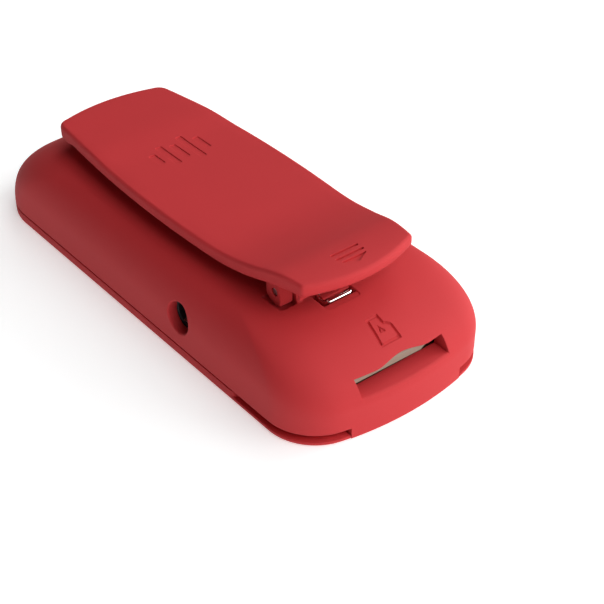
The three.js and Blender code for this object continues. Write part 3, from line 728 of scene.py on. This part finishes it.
def clip_outline():
    near, far = CLIP_LOW[1], CLIP_HIGH[1]
    end = bezier((-7.55, -23.9), (0, 2 * near + 23.9), (7.55, -23.9), 44)
    side = bezier((7.55, -23.9), (10.95, -0.9), (7.9, 22.1), 90)
    corner = bezier((7.9, 22.1), (7.75, 23.75), (6.3, 23.95), 14)
    back = bezier((6.3, 23.95), (0, 2 * far - 23.95), (-6.3, 23.95), 36)
    mirror = np.array((-1, 1))
    loop = np.concatenate([end[:-1], side[:-1], corner[:-1], back[:-1],
                           corner[::-1][:-1] * mirror, side[::-1][:-1] * mirror])
    return soften(loop, [end[0], end[-1]], 0.55)


def soften(loop, corners, radius):
    """Replaces the samples next to each corner by an arc."""
    for corner in corners:
        at = int(np.argmin(np.linalg.norm(loop - corner, axis=1)))
        loop = np.roll(loop, -at, axis=0)
        before = unit(loop[-3] - corner)
        after = unit(loop[3] - corner)
        turn = math.pi - math.acos(before @ after)
        tangent = radius * math.tan(turn / 2)
        triangle = [corner + before * 2 * tangent, corner, corner + after * 2 * tangent]
        arc_points = round_corners(triangle, radius, 7)
        near = np.linalg.norm(arc_points - corner, axis=1) < 1.3 * tangent
        keep = np.linalg.norm(loop - corner, axis=1) > tangent + 0.12
        loop = np.concatenate([arc_points[near], loop[keep]])
    return loop


def cap(ring, height):
    """Triangles that fill a ring, with inner points laid on a surface height(y)."""
    spacing = 0.7
    flat = ring[:, :2]
    low, high = flat.min(axis=0), flat.max(axis=0)
    inner = []
    for y in np.arange(low[1] + spacing, high[1], spacing):
        for x in np.arange(-12, 12.1, 1.6):
            inner.append((x, y))
    edge = [Vector(p) for p in flat]
    points, _, faces, source, _, _ = delaunay_2d_cdt(
        edge + [Vector(p) for p in inner], [], [tuple(range(len(edge)))], 1, 1e-4)
    heights = height(np.array([p[1] for p in points]))
    placed = []
    index = []
    for k, p in enumerate(points):
        first = min(source[k]) if source[k] else len(edge)
        if first < len(edge):
            index.append(first)
        else:
            index.append(len(ring) + len(placed))
            placed.append((p[0], p[1], heights[k]))
    return np.array(placed), [tuple(index[i] for i in f) for f in faces]


def plate():
    """Curved plate of the clip, with rolled edges between its lower and its upper surface."""
    loop = clip_outline()
    normal = outward(loop)
    rings = []
    for inset, rise in rolled(0.5, 5):
        flat = loop - normal * inset
        rings.append(raised(flat, CLIP_UNDER(flat[:, 1]) + rise))
    for drop, inset in rolled(0.45, 7):
        flat = loop - normal * inset
        rings.append(raised(flat, CLIP_TOP(flat[:, 1]) - drop))
    count = len(loop)
    points = list(np.concatenate(rings))
    faces = walls(rings)
    for ring, height, first, flip in ((rings[0], CLIP_UNDER, 0, True),
                                      (rings[-1], CLIP_TOP, (len(rings) - 1) * count, False)):
        inner, triangles = cap(ring, height)
        start = len(points)
        points.extend(inner)
        for triangle in triangles:
            face = [first + i if i < count else start + i - count for i in triangle]
            faces.append(tuple(reversed(face)) if flip else tuple(face))
    return make("clip_moulding", points, faces)


def lug(side):
    span = sorted(side * x for x in LUG["x"])
    near, far, bottom = LUG["near"], LUG["far"], LUG["bottom"]
    loop = round_corners(
        [(near, 13.3), (near, bottom), (far - 0.9, bottom), (far, bottom + 0.9), (far, 12.4)], 0.35, 5)
    return extrude("lug", loop, *span, bevel=0.12, axis="x", segments=3)


def tooth(y):
    loop = round_corners([(y, 9.78), (y + 0.72, 11.7), (y - 0.72, 11.7)], 0.08, 4)
    return extrude("tooth", loop, -4.5, 4.5, bevel=0.05, axis="x", segments=2)


def press_mark(skin):
    bars = [rounded_rectangle(1.85, 0.17, 0.15, 4, (0, y)) for y in (-21.6, -22.5)]
    arrow = round_corners([(-1.85, -23.1), (0, -24.02), (1.85, -23.1)], 0.07, 3)
    return [skin.recess(loop, "+z", 0.05, depth=0.26, step=0.3) for loop in bars + [arrow]]


def level_mark(skin):
    """Five level bars, a plain sign for sound."""
    bars = [rounded_rectangle(0.4, height / 2, 0.12, 4, ((i - 2) * 1.6, 8.5))
            for i, height in enumerate((2.2, 4.4, 3.2, 5.4, 2.8))]
    return [skin.recess(loop, "+z", 0.08, depth=0.1) for loop in bars]


def build_clip():
    body = plate()
    skin = Skin(body)
    rib = box("rib", (-7.2, 7.2), (-23.15, -22.75), (12.38, 13.9), 0.12, 2)
    cutters = press_mark(skin) + level_mark(skin)
    boolean(body, [rib, lug(-1), lug(1)] + [tooth(y) for y in (15.2, 17.0, 18.8)], "UNION")
    bore = extrude("bore", circle(BORE_RADIUS, 32, (HINGE_Y, HINGE_Z)), -9, 9, axis="x")
    return boolean(body, cutters + [bore])


# ---- springs and pin

def rounded_path(points, radius):
    """Open path in space whose corners are eased."""
    points = [np.array(p, float) for p in points]
    out = [points[0]]
    for a, corner, b in zip(points, points[1:], points[2:]):
        before = a - corner
        after = b - corner
        reach = min(radius, np.linalg.norm(before) * 0.45, np.linalg.norm(after) * 0.45)
        out.extend(bezier(corner + unit(before) * reach, corner, corner + unit(after) * reach, 6))
    out.append(points[-1])
    return np.array(out)


def tube(name, path, radius, sides=14):
    """Round wire along a path, with eased ends."""
    along = unit(np.gradient(path, axis=0))
    side = np.cross(along[0], (0.0, 0.3, 1.0))
    angles = np.linspace(0, 2 * math.pi, sides, endpoint=False)
    circles = []
    for tangent in along:
        side = unit(side - tangent * (side @ tangent))
        up = np.cross(tangent, side)
        circles.append(radius * (np.outer(np.cos(angles), side) + np.outer(np.sin(angles), up)))
    rings = [point + ring for point, ring in zip(path, circles)]
    first = path[0] - 0.18 * radius * along[0] + 0.7 * circles[0]
    last = path[-1] + 0.18 * radius * along[-1] + 0.7 * circles[-1]
    obj = loft(name, [first, *rings, last])
    with editing(obj.data) as work:
        bmesh.ops.recalc_face_normals(work, faces=work.faces)
    return obj


def coil(x, length):
    """Two and a bit turns round the pin, from the body leg at x outwards."""
    start = -2.4
    share = np.linspace(0, 1, 110)
    angle = start - share * (4 * math.pi + 2.0)
    return np.column_stack([x + share * length, HINGE_Y + COIL_RADIUS * np.cos(angle),
                            HINGE_Z + COIL_RADIUS * np.sin(angle)])


def hinge_spring():
    """Wire from the clip round the left coil, along the bar in the pocket and back up the right coil."""
    left = coil(-2.35, -1.5)
    right = coil(0.65, 1.5)
    leg = [(-20.45, 8.93), (-21.6, 8.95), (-21.95, 9.3)]
    bar = [(-2.35, *at) for at in leg] + [(0.65, *at) for at in reversed(leg)]
    legs = rounded_path([left[2], left[0], *bar, right[0], right[2]], 0.3)
    path = np.concatenate([
        rounded_path([(left[-1][0], -22.3, 12.45), left[-1], left[-4]], 0.3)[:-1],
        left[::-1][4:-2], legs, right[3:-4],
        rounded_path([right[-4], right[-1], (right[-1][0], -22.3, 12.45)], 0.3)[1:],
    ])
    return tube("hinge_spring_wire", path, HINGE_WIRE)


def card_spring():
    low, high = cad("card_spring")
    centre = (low + high) / 2
    share = np.linspace(0, 1, 130)
    angle = share * 8 * math.pi
    path = np.column_stack([centre[0] + 0.36 * np.cos(angle), low[1] + 0.09 + share * 1.45,
                            centre[2] + 0.36 * np.sin(angle)])
    return tube("socket_spring_wire", path, CARD_WIRE, 8)


# ---- ports and switch

def jack_body():
    low, high = cad("jack_housing")
    back = -0.6
    profile = [(JACK_FACE, low[2]), (back, low[2]), (back, high[2]), (-11.0, high[2]), (-11.7, 6.9),
               (JACK_FACE, 6.2)]
    body = extrude("jack_body", np.array(profile), low[1], high[1], bevel=0.15, axis="y")
    boss = extrude("boss", circle(2.2, 64, (JACK[1], JACK_Z)), low[0] + 0.3, -11.5, bevel=0.06, axis="x")
    boolean(body, [boss], "UNION")
    bore = Skin(body).recess(circle(1.75, 56, (-JACK[1], JACK_Z)), "-x", 0.14, floor=1.8, step=1)
    return boolean(body, [bore])


def jack_leaf():
    """Spring leaf in the floor of the bore, with a raised contact bump."""
    height = spline([(JACK_FACE, 0), (-11.95, 0.08), (-11.75, 0.22), (-11.4, 0.06), (-10.6, 0), (-4, 0)])
    x = np.concatenate([np.linspace(JACK_FACE, -10.6, 40), np.linspace(-10.5, -4, 8)])
    top = np.column_stack([x, JACK_Z - 1.36 + height(x)])
    bottom = top[::-1] - (0, 0.12)
    return extrude("jack_leaf", np.concatenate([bottom[::-1], top[::-1]]),
                   JACK[1] - 0.1, JACK[1] + 1.0, bevel=0.03, axis="y", segments=2)


def usb_loop(inset=0.0):
    low, high = USB_LOW[1:], USB_HIGH[1:]
    loop = round_corners([
        (low[0] + 0.85, low[1]), (high[0] - 0.85, low[1]), (high[0], low[1] + 0.95),
        (high[0], high[1]), (low[0], high[1]), (low[0], low[1] + 0.95)], 0.38, 6)
    return loop - outward(loop) * inset


def usb_metal():
    back, front = USB_LOW[0], USB_HIGH[0]
    rings = []
    for inset, x in ((0.0, back), (0.0, front - 0.06), (0.05, front), (0.14, front - 0.02),
                     (0.25, front - 0.3), (0.25, back)):
        loop = usb_loop(inset)
        rings.append(np.column_stack([np.full(len(loop), x), loop]))
    return torus_loft("usb_metal", rings)


def usb_contacts():
    strips = []
    for k in range(5):
        y = USB_LOW[1] + 3.75 + (k - 2) * 0.65
        strips.append(box("strip", (9.3, 12.3), (y - 0.14, y + 0.14), (5.08, 5.14), 0.02, 1))
    return join("usb_contacts", strips)


def knob():
    low, high = KNOB_LOW, KNOB_HIGH
    centre = (low[1] + high[1]) / 2
    grip = box("hold_grip", (low[0] + 1.2, high[0]), (low[1], high[1]), (low[2], high[2]), 0.26, 4)
    grooves = [box("ridge", (high[0] - 0.16, high[0] + 1), (centre + k - 0.11, centre + k + 0.11),
                   (low[2] - 1, high[2] + 1), 0.04, 1) for k in (-0.5, 0.0, 0.5)]
    boolean(grip, grooves)
    peg = box("peg", (low[0], low[0] + 1.4), (centre - 0.6, centre + 0.6),
              (low[2] + 0.2, high[2] - 0.2), 0.05, 1)
    return boolean(grip, [peg], "UNION")


# ---- card socket

CONTACT_X = (-3.6, -2.2, -0.8, 0.6, 2.0, 3.4)


def socket_floor():
    low, high = cad("card_socket_base")
    loop = round_corners(rectangle(low[0], high[0], low[1], high[1]), 0.12, 3)
    tray = extrude("socket_floor", loop, low[2], high[2], bevel=0.06, segments=2)
    slots = [box("slot", (x - 0.32, x + 0.32), (-24.6, -19.4), (high[2] - 0.25, high[2] + 0.5))
             for x in CONTACT_X]
    return boolean(tray, slots)


def card_guide():
    """Strip behind the slot's upper edge; its top follows the arch, and it tapers off on the right."""
    low, high = GUIDE_LOW, GUIDE_HIGH
    x = np.linspace(high[0], low[0], 60)
    top = np.column_stack([x, slot_arch(x) - 0.07])
    under = [(low[0], low[2] + 0.3), (high[0] - 0.5, low[2] + 0.16), (high[0], low[2] + 0.5)]
    loop = np.concatenate([under, top])
    strip = extrude("card_guide_strip", loop, low[1], high[1], axis="y")
    return boolean(strip, [lean()], "INTERSECT")


def lean():
    """Front of the card guide: just inside the leaning end wall."""
    rings = [body_ring(0.16, 1.6 + (HEIGHT - 1.76) * math.sin(t * math.pi / 2), HEIGHT - 0.16)
             for t in np.linspace(0, 1, 40)]
    return loft("lean", rings)


def socket_contacts():
    """Sprung card contacts, each a thin strip that rises to a rounded tip."""
    base = cad("card_socket_base")[1][2] - 0.2
    rise = spline([(-24.4, 0.12), (-23.9, 0.42), (-23.3, 0.36), (-20.5, 0.04), (-19.5, 0.0)])
    y = np.linspace(-24.4, -19.5, 30)
    top = np.column_stack([y, base + 0.1 + rise(y)])
    loop = np.concatenate([top - (0, 0.1), top[::-1]])
    return join("socket_contacts", [
        extrude("contact", loop, x - 0.2, x + 0.2, axis="x") for x in CONTACT_X])


def socket_cover():
    """Folded sheet-metal cover with stamped spring fingers."""
    low, high = cad("card_socket_shell")
    sheet = 0.25
    outside = box("socket_cover", (low[0], high[0]), (low[1], high[1]), (low[2], high[2]), 0.2, 3)
    inside = box("inside", (low[0] + sheet, high[0] - sheet), (low[1] - 1, high[1] - sheet),
                 (low[2] - 1, high[2] - sheet), 0.06, 2)
    slits = [box("slit", (x - 0.12, x + 0.12), (-26.5, -21.5), (high[2] - 1, high[2] + 1))
             for x in (-4.95, -3.45, 3.45, 4.95)]
    return boolean(outside, [inside] + slits)


# ---- display window

def window_glass():
    low, high = cad("display_window")
    rings = []
    for inset, rise in rolled(0.14, 5):
        loop = rounded_between(low[:2] + inset, high[:2] - inset, 1.05 - inset * 0.5, 10)
        rings.append(raised(loop, low[2] + rise))
    rings.append(raised(loop, high[2]))
    return loft("window_glass", rings)


# ---- materials

def new_material(name):
    """Material with a plain shader, and that shader."""
    material = bpy.data.materials.new(name)
    material.use_nodes = True
    return material, material.node_tree.nodes["Principled BSDF"]


def feed(tree, sockets, values):
    """Sets input sockets by name, each to a constant or to the output that drives it."""
    for key, value in values.items():
        if isinstance(value, bpy.types.NodeSocket):
            tree.links.new(value, sockets[key])
        else:
            sockets[key].default_value = value


def add_node(material, kind, values, output, **settings):
    """Adds a shader node and gives the output that is asked for."""
    node = material.node_tree.nodes.new("ShaderNode" + kind)
    for key, value in settings.items():
        setattr(node, key, value)
    feed(material.node_tree, node.inputs, values)
    return node.outputs[output]


def surface(name, colour, roughness, metallic=0.0, grain=9000, bump=0.000004, mottle=0.05,
            spread=0.05, specular=0.5, coat=0.0, coat_roughness=0.1, stretch=(1, 1, 1)):
    """Moulded or rolled finish: fine grain in the relief, slow variation in colour and gloss."""
    material, shader = new_material(name)
    place_in = add_node(material, "TexCoord", {}, "Object")
    place_in = add_node(material, "Mapping", {"Vector": place_in, "Scale": stretch}, "Vector")
    slow = add_node(material, "TexNoise", {"Vector": place_in, "Scale": 160, "Detail": 4}, "Fac")
    dark = tuple(c * (1 - mottle) for c in colour)
    light = tuple(min(1.0, c * (1 + mottle)) for c in colour)
    tint = add_node(material, "Mix", {"A": (*dark, 1), "B": (*light, 1), "Factor": slow}, "Result",
                    data_type="RGBA")
    fine = add_node(material, "TexNoise", {"Vector": place_in, "Scale": grain, "Detail": 3}, "Fac")
    gloss = add_node(material, "MapRange", {"Value": fine, "To Min": max(0.02, roughness - spread),
                                            "To Max": min(1.0, roughness + spread)}, "Result")
    relief = add_node(material, "Bump", {"Strength": 0.5, "Distance": bump, "Height": fine}, "Normal")
    feed(material.node_tree, shader.inputs, {
        "Base Color": tint, "Roughness": gloss, "Normal": relief, "Metallic": metallic,
        "Specular IOR Level": specular, "Coat Weight": coat, "Coat Roughness": coat_roughness})
    return material


SOFT_RED = surface("soft_touch_red", (0.54, 0.0180, 0.0225), 0.8, mottle=0.03, grain=7000, bump=0.000006,
                   specular=0.58)
STEEL = surface("spring_steel", (0.86, 0.85, 0.84), 0.17, 1.0, bump=0.000001)
DARK_STEEL = surface("pin_steel", (0.30, 0.29, 0.29), 0.3, 1.0, bump=0.000003)
NICKEL = surface("nickel_plate", (0.56, 0.53, 0.49), 0.3, 1.0, stretch=(1, 6, 1), bump=0.000003)
BLACK = surface("moulded_black", (0.012, 0.012, 0.013), 0.42, bump=0.00001, grain=5000, mottle=0.2)
KEY_BLACK = surface("key_black", (0.010, 0.010, 0.011), 0.5, bump=0.00001, grain=6000, mottle=0.2)
BEIGE = surface("socket_beige", (0.285, 0.212, 0.158), 0.5, bump=0.00001, mottle=0.08)
GOLD = surface("gold_contact", (0.83, 0.58, 0.22), 0.25, 1.0, bump=0.000002)
PRINT = surface("key_print", (0.75, 0.75, 0.74), 0.6, mottle=0.04)
FOAM = surface("black_foam", (0.02, 0.02, 0.021), 0.95, bump=0.00008, grain=2600, mottle=0.3)
AMBER = surface("polyimide_film", (0.45, 0.16, 0.03), 0.3, coat=0.6, mottle=0.1)
POUCH = surface("battery_pouch", (0.50, 0.51, 0.53), 0.38, 0.7, bump=0.00003, grain=900, mottle=0.06)
LEAD_RED = surface("lead_red", (0.50, 0.01, 0.01), 0.4, mottle=0.06)
LEAD_BLACK = surface("lead_black", (0.012, 0.012, 0.012), 0.4, mottle=0.2)
RESIN = surface("chip_resin", (0.016, 0.016, 0.018), 0.55, bump=0.00001, grain=4000, mottle=0.25)


def over(material, values):
    """Mixes a second colour into a material's own; values say what A or B and the factor are."""
    shader = material.node_tree.nodes["Principled BSDF"]
    own = shader.inputs["Base Color"].links[0].from_socket
    missing = "A" if "B" in values else "B"
    mixed = add_node(material, "Mix", {**values, missing: own}, "Result", data_type="RGBA")
    feed(material.node_tree, shader.inputs, {"Base Color": mixed})
    return material


def board_material():
    """Green solder mask with copper traces and pads under it."""
    material = surface("board_laminate", (0.012, 0.10, 0.035), 0.35, coat=0.4, mottle=0.15)
    place_in = material.node_tree.nodes["Texture Coordinate"].outputs["Object"]
    traces = add_node(material, "TexBrick", {
        "Vector": place_in, "Scale": 700, "Mortar Size": 0.03, "Color1": (0, 0, 0, 1),
        "Color2": (0, 0, 0, 1), "Mortar": (1, 1, 1, 1)}, "Fac")
    return over(material, {"B": (0.04, 0.22, 0.07, 1), "Factor": traces})


def glass_material(name, centre, half, border, field):
    """Dark window with a printed black border round a slightly lighter field."""
    material = surface(name, field, 0.06, grain=300, bump=0.0, mottle=0.1, spread=0.02, coat=1.0,
                       coat_roughness=0.03)
    place_in = material.node_tree.nodes["Texture Coordinate"].outputs["Object"]
    tests = []
    for k, axis in enumerate("XY"):
        value = add_node(material, "SeparateXYZ", {"Vector": place_in}, axis)
        for operation, amount in (("SUBTRACT", centre[k] * MM), ("ABSOLUTE", 0), ("LESS_THAN", half[k] * MM)):
            value = add_node(material, "Math", {0: value, 1: amount}, "Value", operation=operation)
        tests.append(value)
    inside = add_node(material, "Math", {0: tests[0], 1: tests[1]}, "Value", operation="MULTIPLY")
    return over(material, {"A": (*border, 1), "Factor": inside})


PCB = board_material()
GLASS = glass_material("window_acrylic", middle("display_window"), (8.4, 5.7),
                       (0.004, 0.004, 0.005), (0.02, 0.024, 0.03))
PANEL = glass_material("display_glass", middle("display_panel"), (8.6, 6.0),
                       (0.03, 0.03, 0.03), (0.06, 0.07, 0.08))


# ---- assembly

place(build_back(), "player", SOFT_RED, ["back_cover"])
place(build_front(), "player", SOFT_RED, ["front_cover"])
place(build_clip(), "clip", SOFT_RED, ["clip"])

pin = extrude("pivot_pin", circle(PIN_RADIUS, 48, (HINGE_Y, HINGE_Z)), PIN_LOW[0], PIN_HIGH[0],
              bevel=0.08, axis="x")
place(pin, "player", DARK_STEEL, ["hinge_pin"])

spring_low, spring_high = cad("card_spring")
SPRINGS = [
    (hinge_spring(), "hinge_spring", "clip", (0, -0.020, 0.0100), (0, -0.020, 0.0121)),
    (card_spring(), "card_spring", "card_slider", (0, spring_high[1] * MM, 0), (0, spring_low[1] * MM, 0)),
]
for wire, node, body, start, end in SPRINGS:
    shade(wire)
    dress(wire, STEEL)
    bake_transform(wire)
    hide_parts(node)

place(jack_body(), "player", BLACK, ["jack_housing"])
place(jack_leaf(), "player", NICKEL, ["jack_contact"])
place(usb_metal(), "player", NICKEL, ["usb_shell"])
place(usb_contacts(), "player", GOLD)
place(knob(), "hold_knob", KEY_BLACK, ["hold_knob"])
place(socket_floor(), "player", BEIGE, ["card_socket_base"])
place(card_guide(), "player", BEIGE, ["card_guide"])
place(socket_contacts(), "player", GOLD)
place(socket_cover(), "player", NICKEL, ["card_socket_shell"])
place(window_glass(), "player", GLASS, ["display_window"])

key_low, key_high = cad("play_key")
for name, (shape, at, angle) in KEYS.items():
    cap_piece = key(shape, key_low[2], key_high[2])
    reach = (SIGN_REACH, 0) if shape is ring_key else (0, 0)
    signs = [extrude("sign", np.array(loop) + reach, key_low[2] - 0.03, key_low[2] + 0.05)
             for loop in symbols()[name]]
    sign = join(name + "_sign", signs)
    cap_piece.name = name + "_cap"
    turn = Matrix.Translation((*at, 0)) @ Matrix.Rotation(angle, 4, "Z")
    for piece in (cap_piece, sign):
        piece.data.transform(turn)
    place(cap_piece, name + "_key", KEY_BLACK, [name + "_key"])
    place(sign, name + "_key", PRINT)

CARRIED = {
    "circuit_board": PCB, "battery_board": PCB, "battery": POUCH, "battery_tape": FOAM,
    "battery_lead_red": LEAD_RED, "battery_lead_black": LEAD_BLACK, "main_chip": RESIN,
    "memory_chip": RESIN, "tuner_chip": RESIN, "crystal": NICKEL, "display_panel": PANEL,
    "display_frame": FOAM, "display_flex": AMBER, "usb_tongue": BLACK, "hold_switch": BLACK,
    "card_slider": BLACK,
}
for node, obj in frame["nodes"].items():
    material = CARRIED.get(node, STEEL)
    if not obj.hide_render:
        obj.data.materials.clear()
        obj.data.materials.append(material)


# ---- studio

SOFTBOX_SIZE = 0.6
SOFTBOX_DISTANCE = 0.95

# name: azimuth and elevation in degrees, power in watts
SOFTBOXES = {
    "front_low": (-95, 22, 0.9),
    "key": (-50, 22, 3.25),
    "right": (-10, 22, 4.35),
    "front": (-90, 48, 3.25),
    "front_right": (-45, 48, 0.6),
    "back_right": (30, 48, 1.95),
    "left_fill": (-150, 45, 0.4),
    "top": (0, 80, 0.65),
}


def floor_material():
    """Matt white that glows a little, and more with distance, so that it fades into the background."""
    material, shader = new_material("studio_floor")
    place_in = add_node(material, "TexCoord", {}, "Object")
    reach = add_node(material, "VectorMath", {0: place_in}, "Value", operation="LENGTH")
    glow = add_node(material, "MapRange", {"Value": reach, "From Min": 0.15, "From Max": 0.7,
                                           "To Min": 0.46, "To Max": 1.0}, "Result")
    feed(material.node_tree, shader.inputs, {
        "Base Color": (0.84, 0.86, 0.86, 1), "Roughness": 0.9, "Specular IOR Level": 0.1,
        "Emission Color": (1, 1, 1, 1), "Emission Strength": glow})
    return material


def floor():
    bpy.ops.mesh.primitive_plane_add(size=8)
    plane = bpy.context.object
    plane.name = "studio_floor"
    plane.data.materials.append(floor_material())


def softbox(name, azimuth, elevation, power):
    """Round soft light that looks at the player from a direction given in degrees."""
    light = bpy.data.lights.new(name, "AREA")
    light.shape = "DISK"
    light.size = SOFTBOX_SIZE
    light.energy = power
    turn, lift = math.radians(azimuth), math.radians(elevation)
    out = Vector((math.cos(lift) * math.cos(turn), math.cos(lift) * math.sin(turn), math.sin(lift)))
    obj = add_object(name, light)
    obj.location = out * SOFTBOX_DISTANCE
    obj.rotation_euler = (-out).to_track_quat("-Z", "Y").to_euler()


def world():
    """White behind the object, and no light from the surroundings: the soft boxes and floor light it."""
    scene = bpy.context.scene
    scene.world = bpy.data.worlds.new("studio")
    scene.world.use_nodes = True
    nodes, links = scene.world.node_tree.nodes, scene.world.node_tree.links
    background = nodes["Background"]
    background.inputs["Color"].default_value = (1, 1, 1, 1)
    rays = nodes.new("ShaderNodeLightPath")
    links.new(rays.outputs["Is Camera Ray"], background.inputs["Strength"])


def camera(location, forward, lens, roll):
    """Camera at a place in metres, with its direction, its lens in millimetres and its roll in degrees."""
    data = bpy.data.cameras.new("camera")
    data.lens = lens
    data.sensor_width = 36
    data.clip_start = 0.01
    obj = add_object("camera", data)
    forward = Vector(forward).normalized()
    right = forward.cross(Vector((0, 0, 1))).normalized()
    up = right.cross(forward)
    rotation = Matrix((right, up, -forward)).transposed() @ Matrix.Rotation(math.radians(roll), 3, "Z")
    obj.matrix_world = Matrix.Translation(location) @ rotation.to_4x4()
    bpy.context.scene.camera = obj


floor()
world()
for name, aim in SOFTBOXES.items():
    softbox(name, *aim)
camera((-0.0770, -0.1105, 0.0964), (0.5001, 0.6234, -0.6010), 81.9, roll=-0.3)
bpy.context.scene.view_settings.view_transform = "Standard"
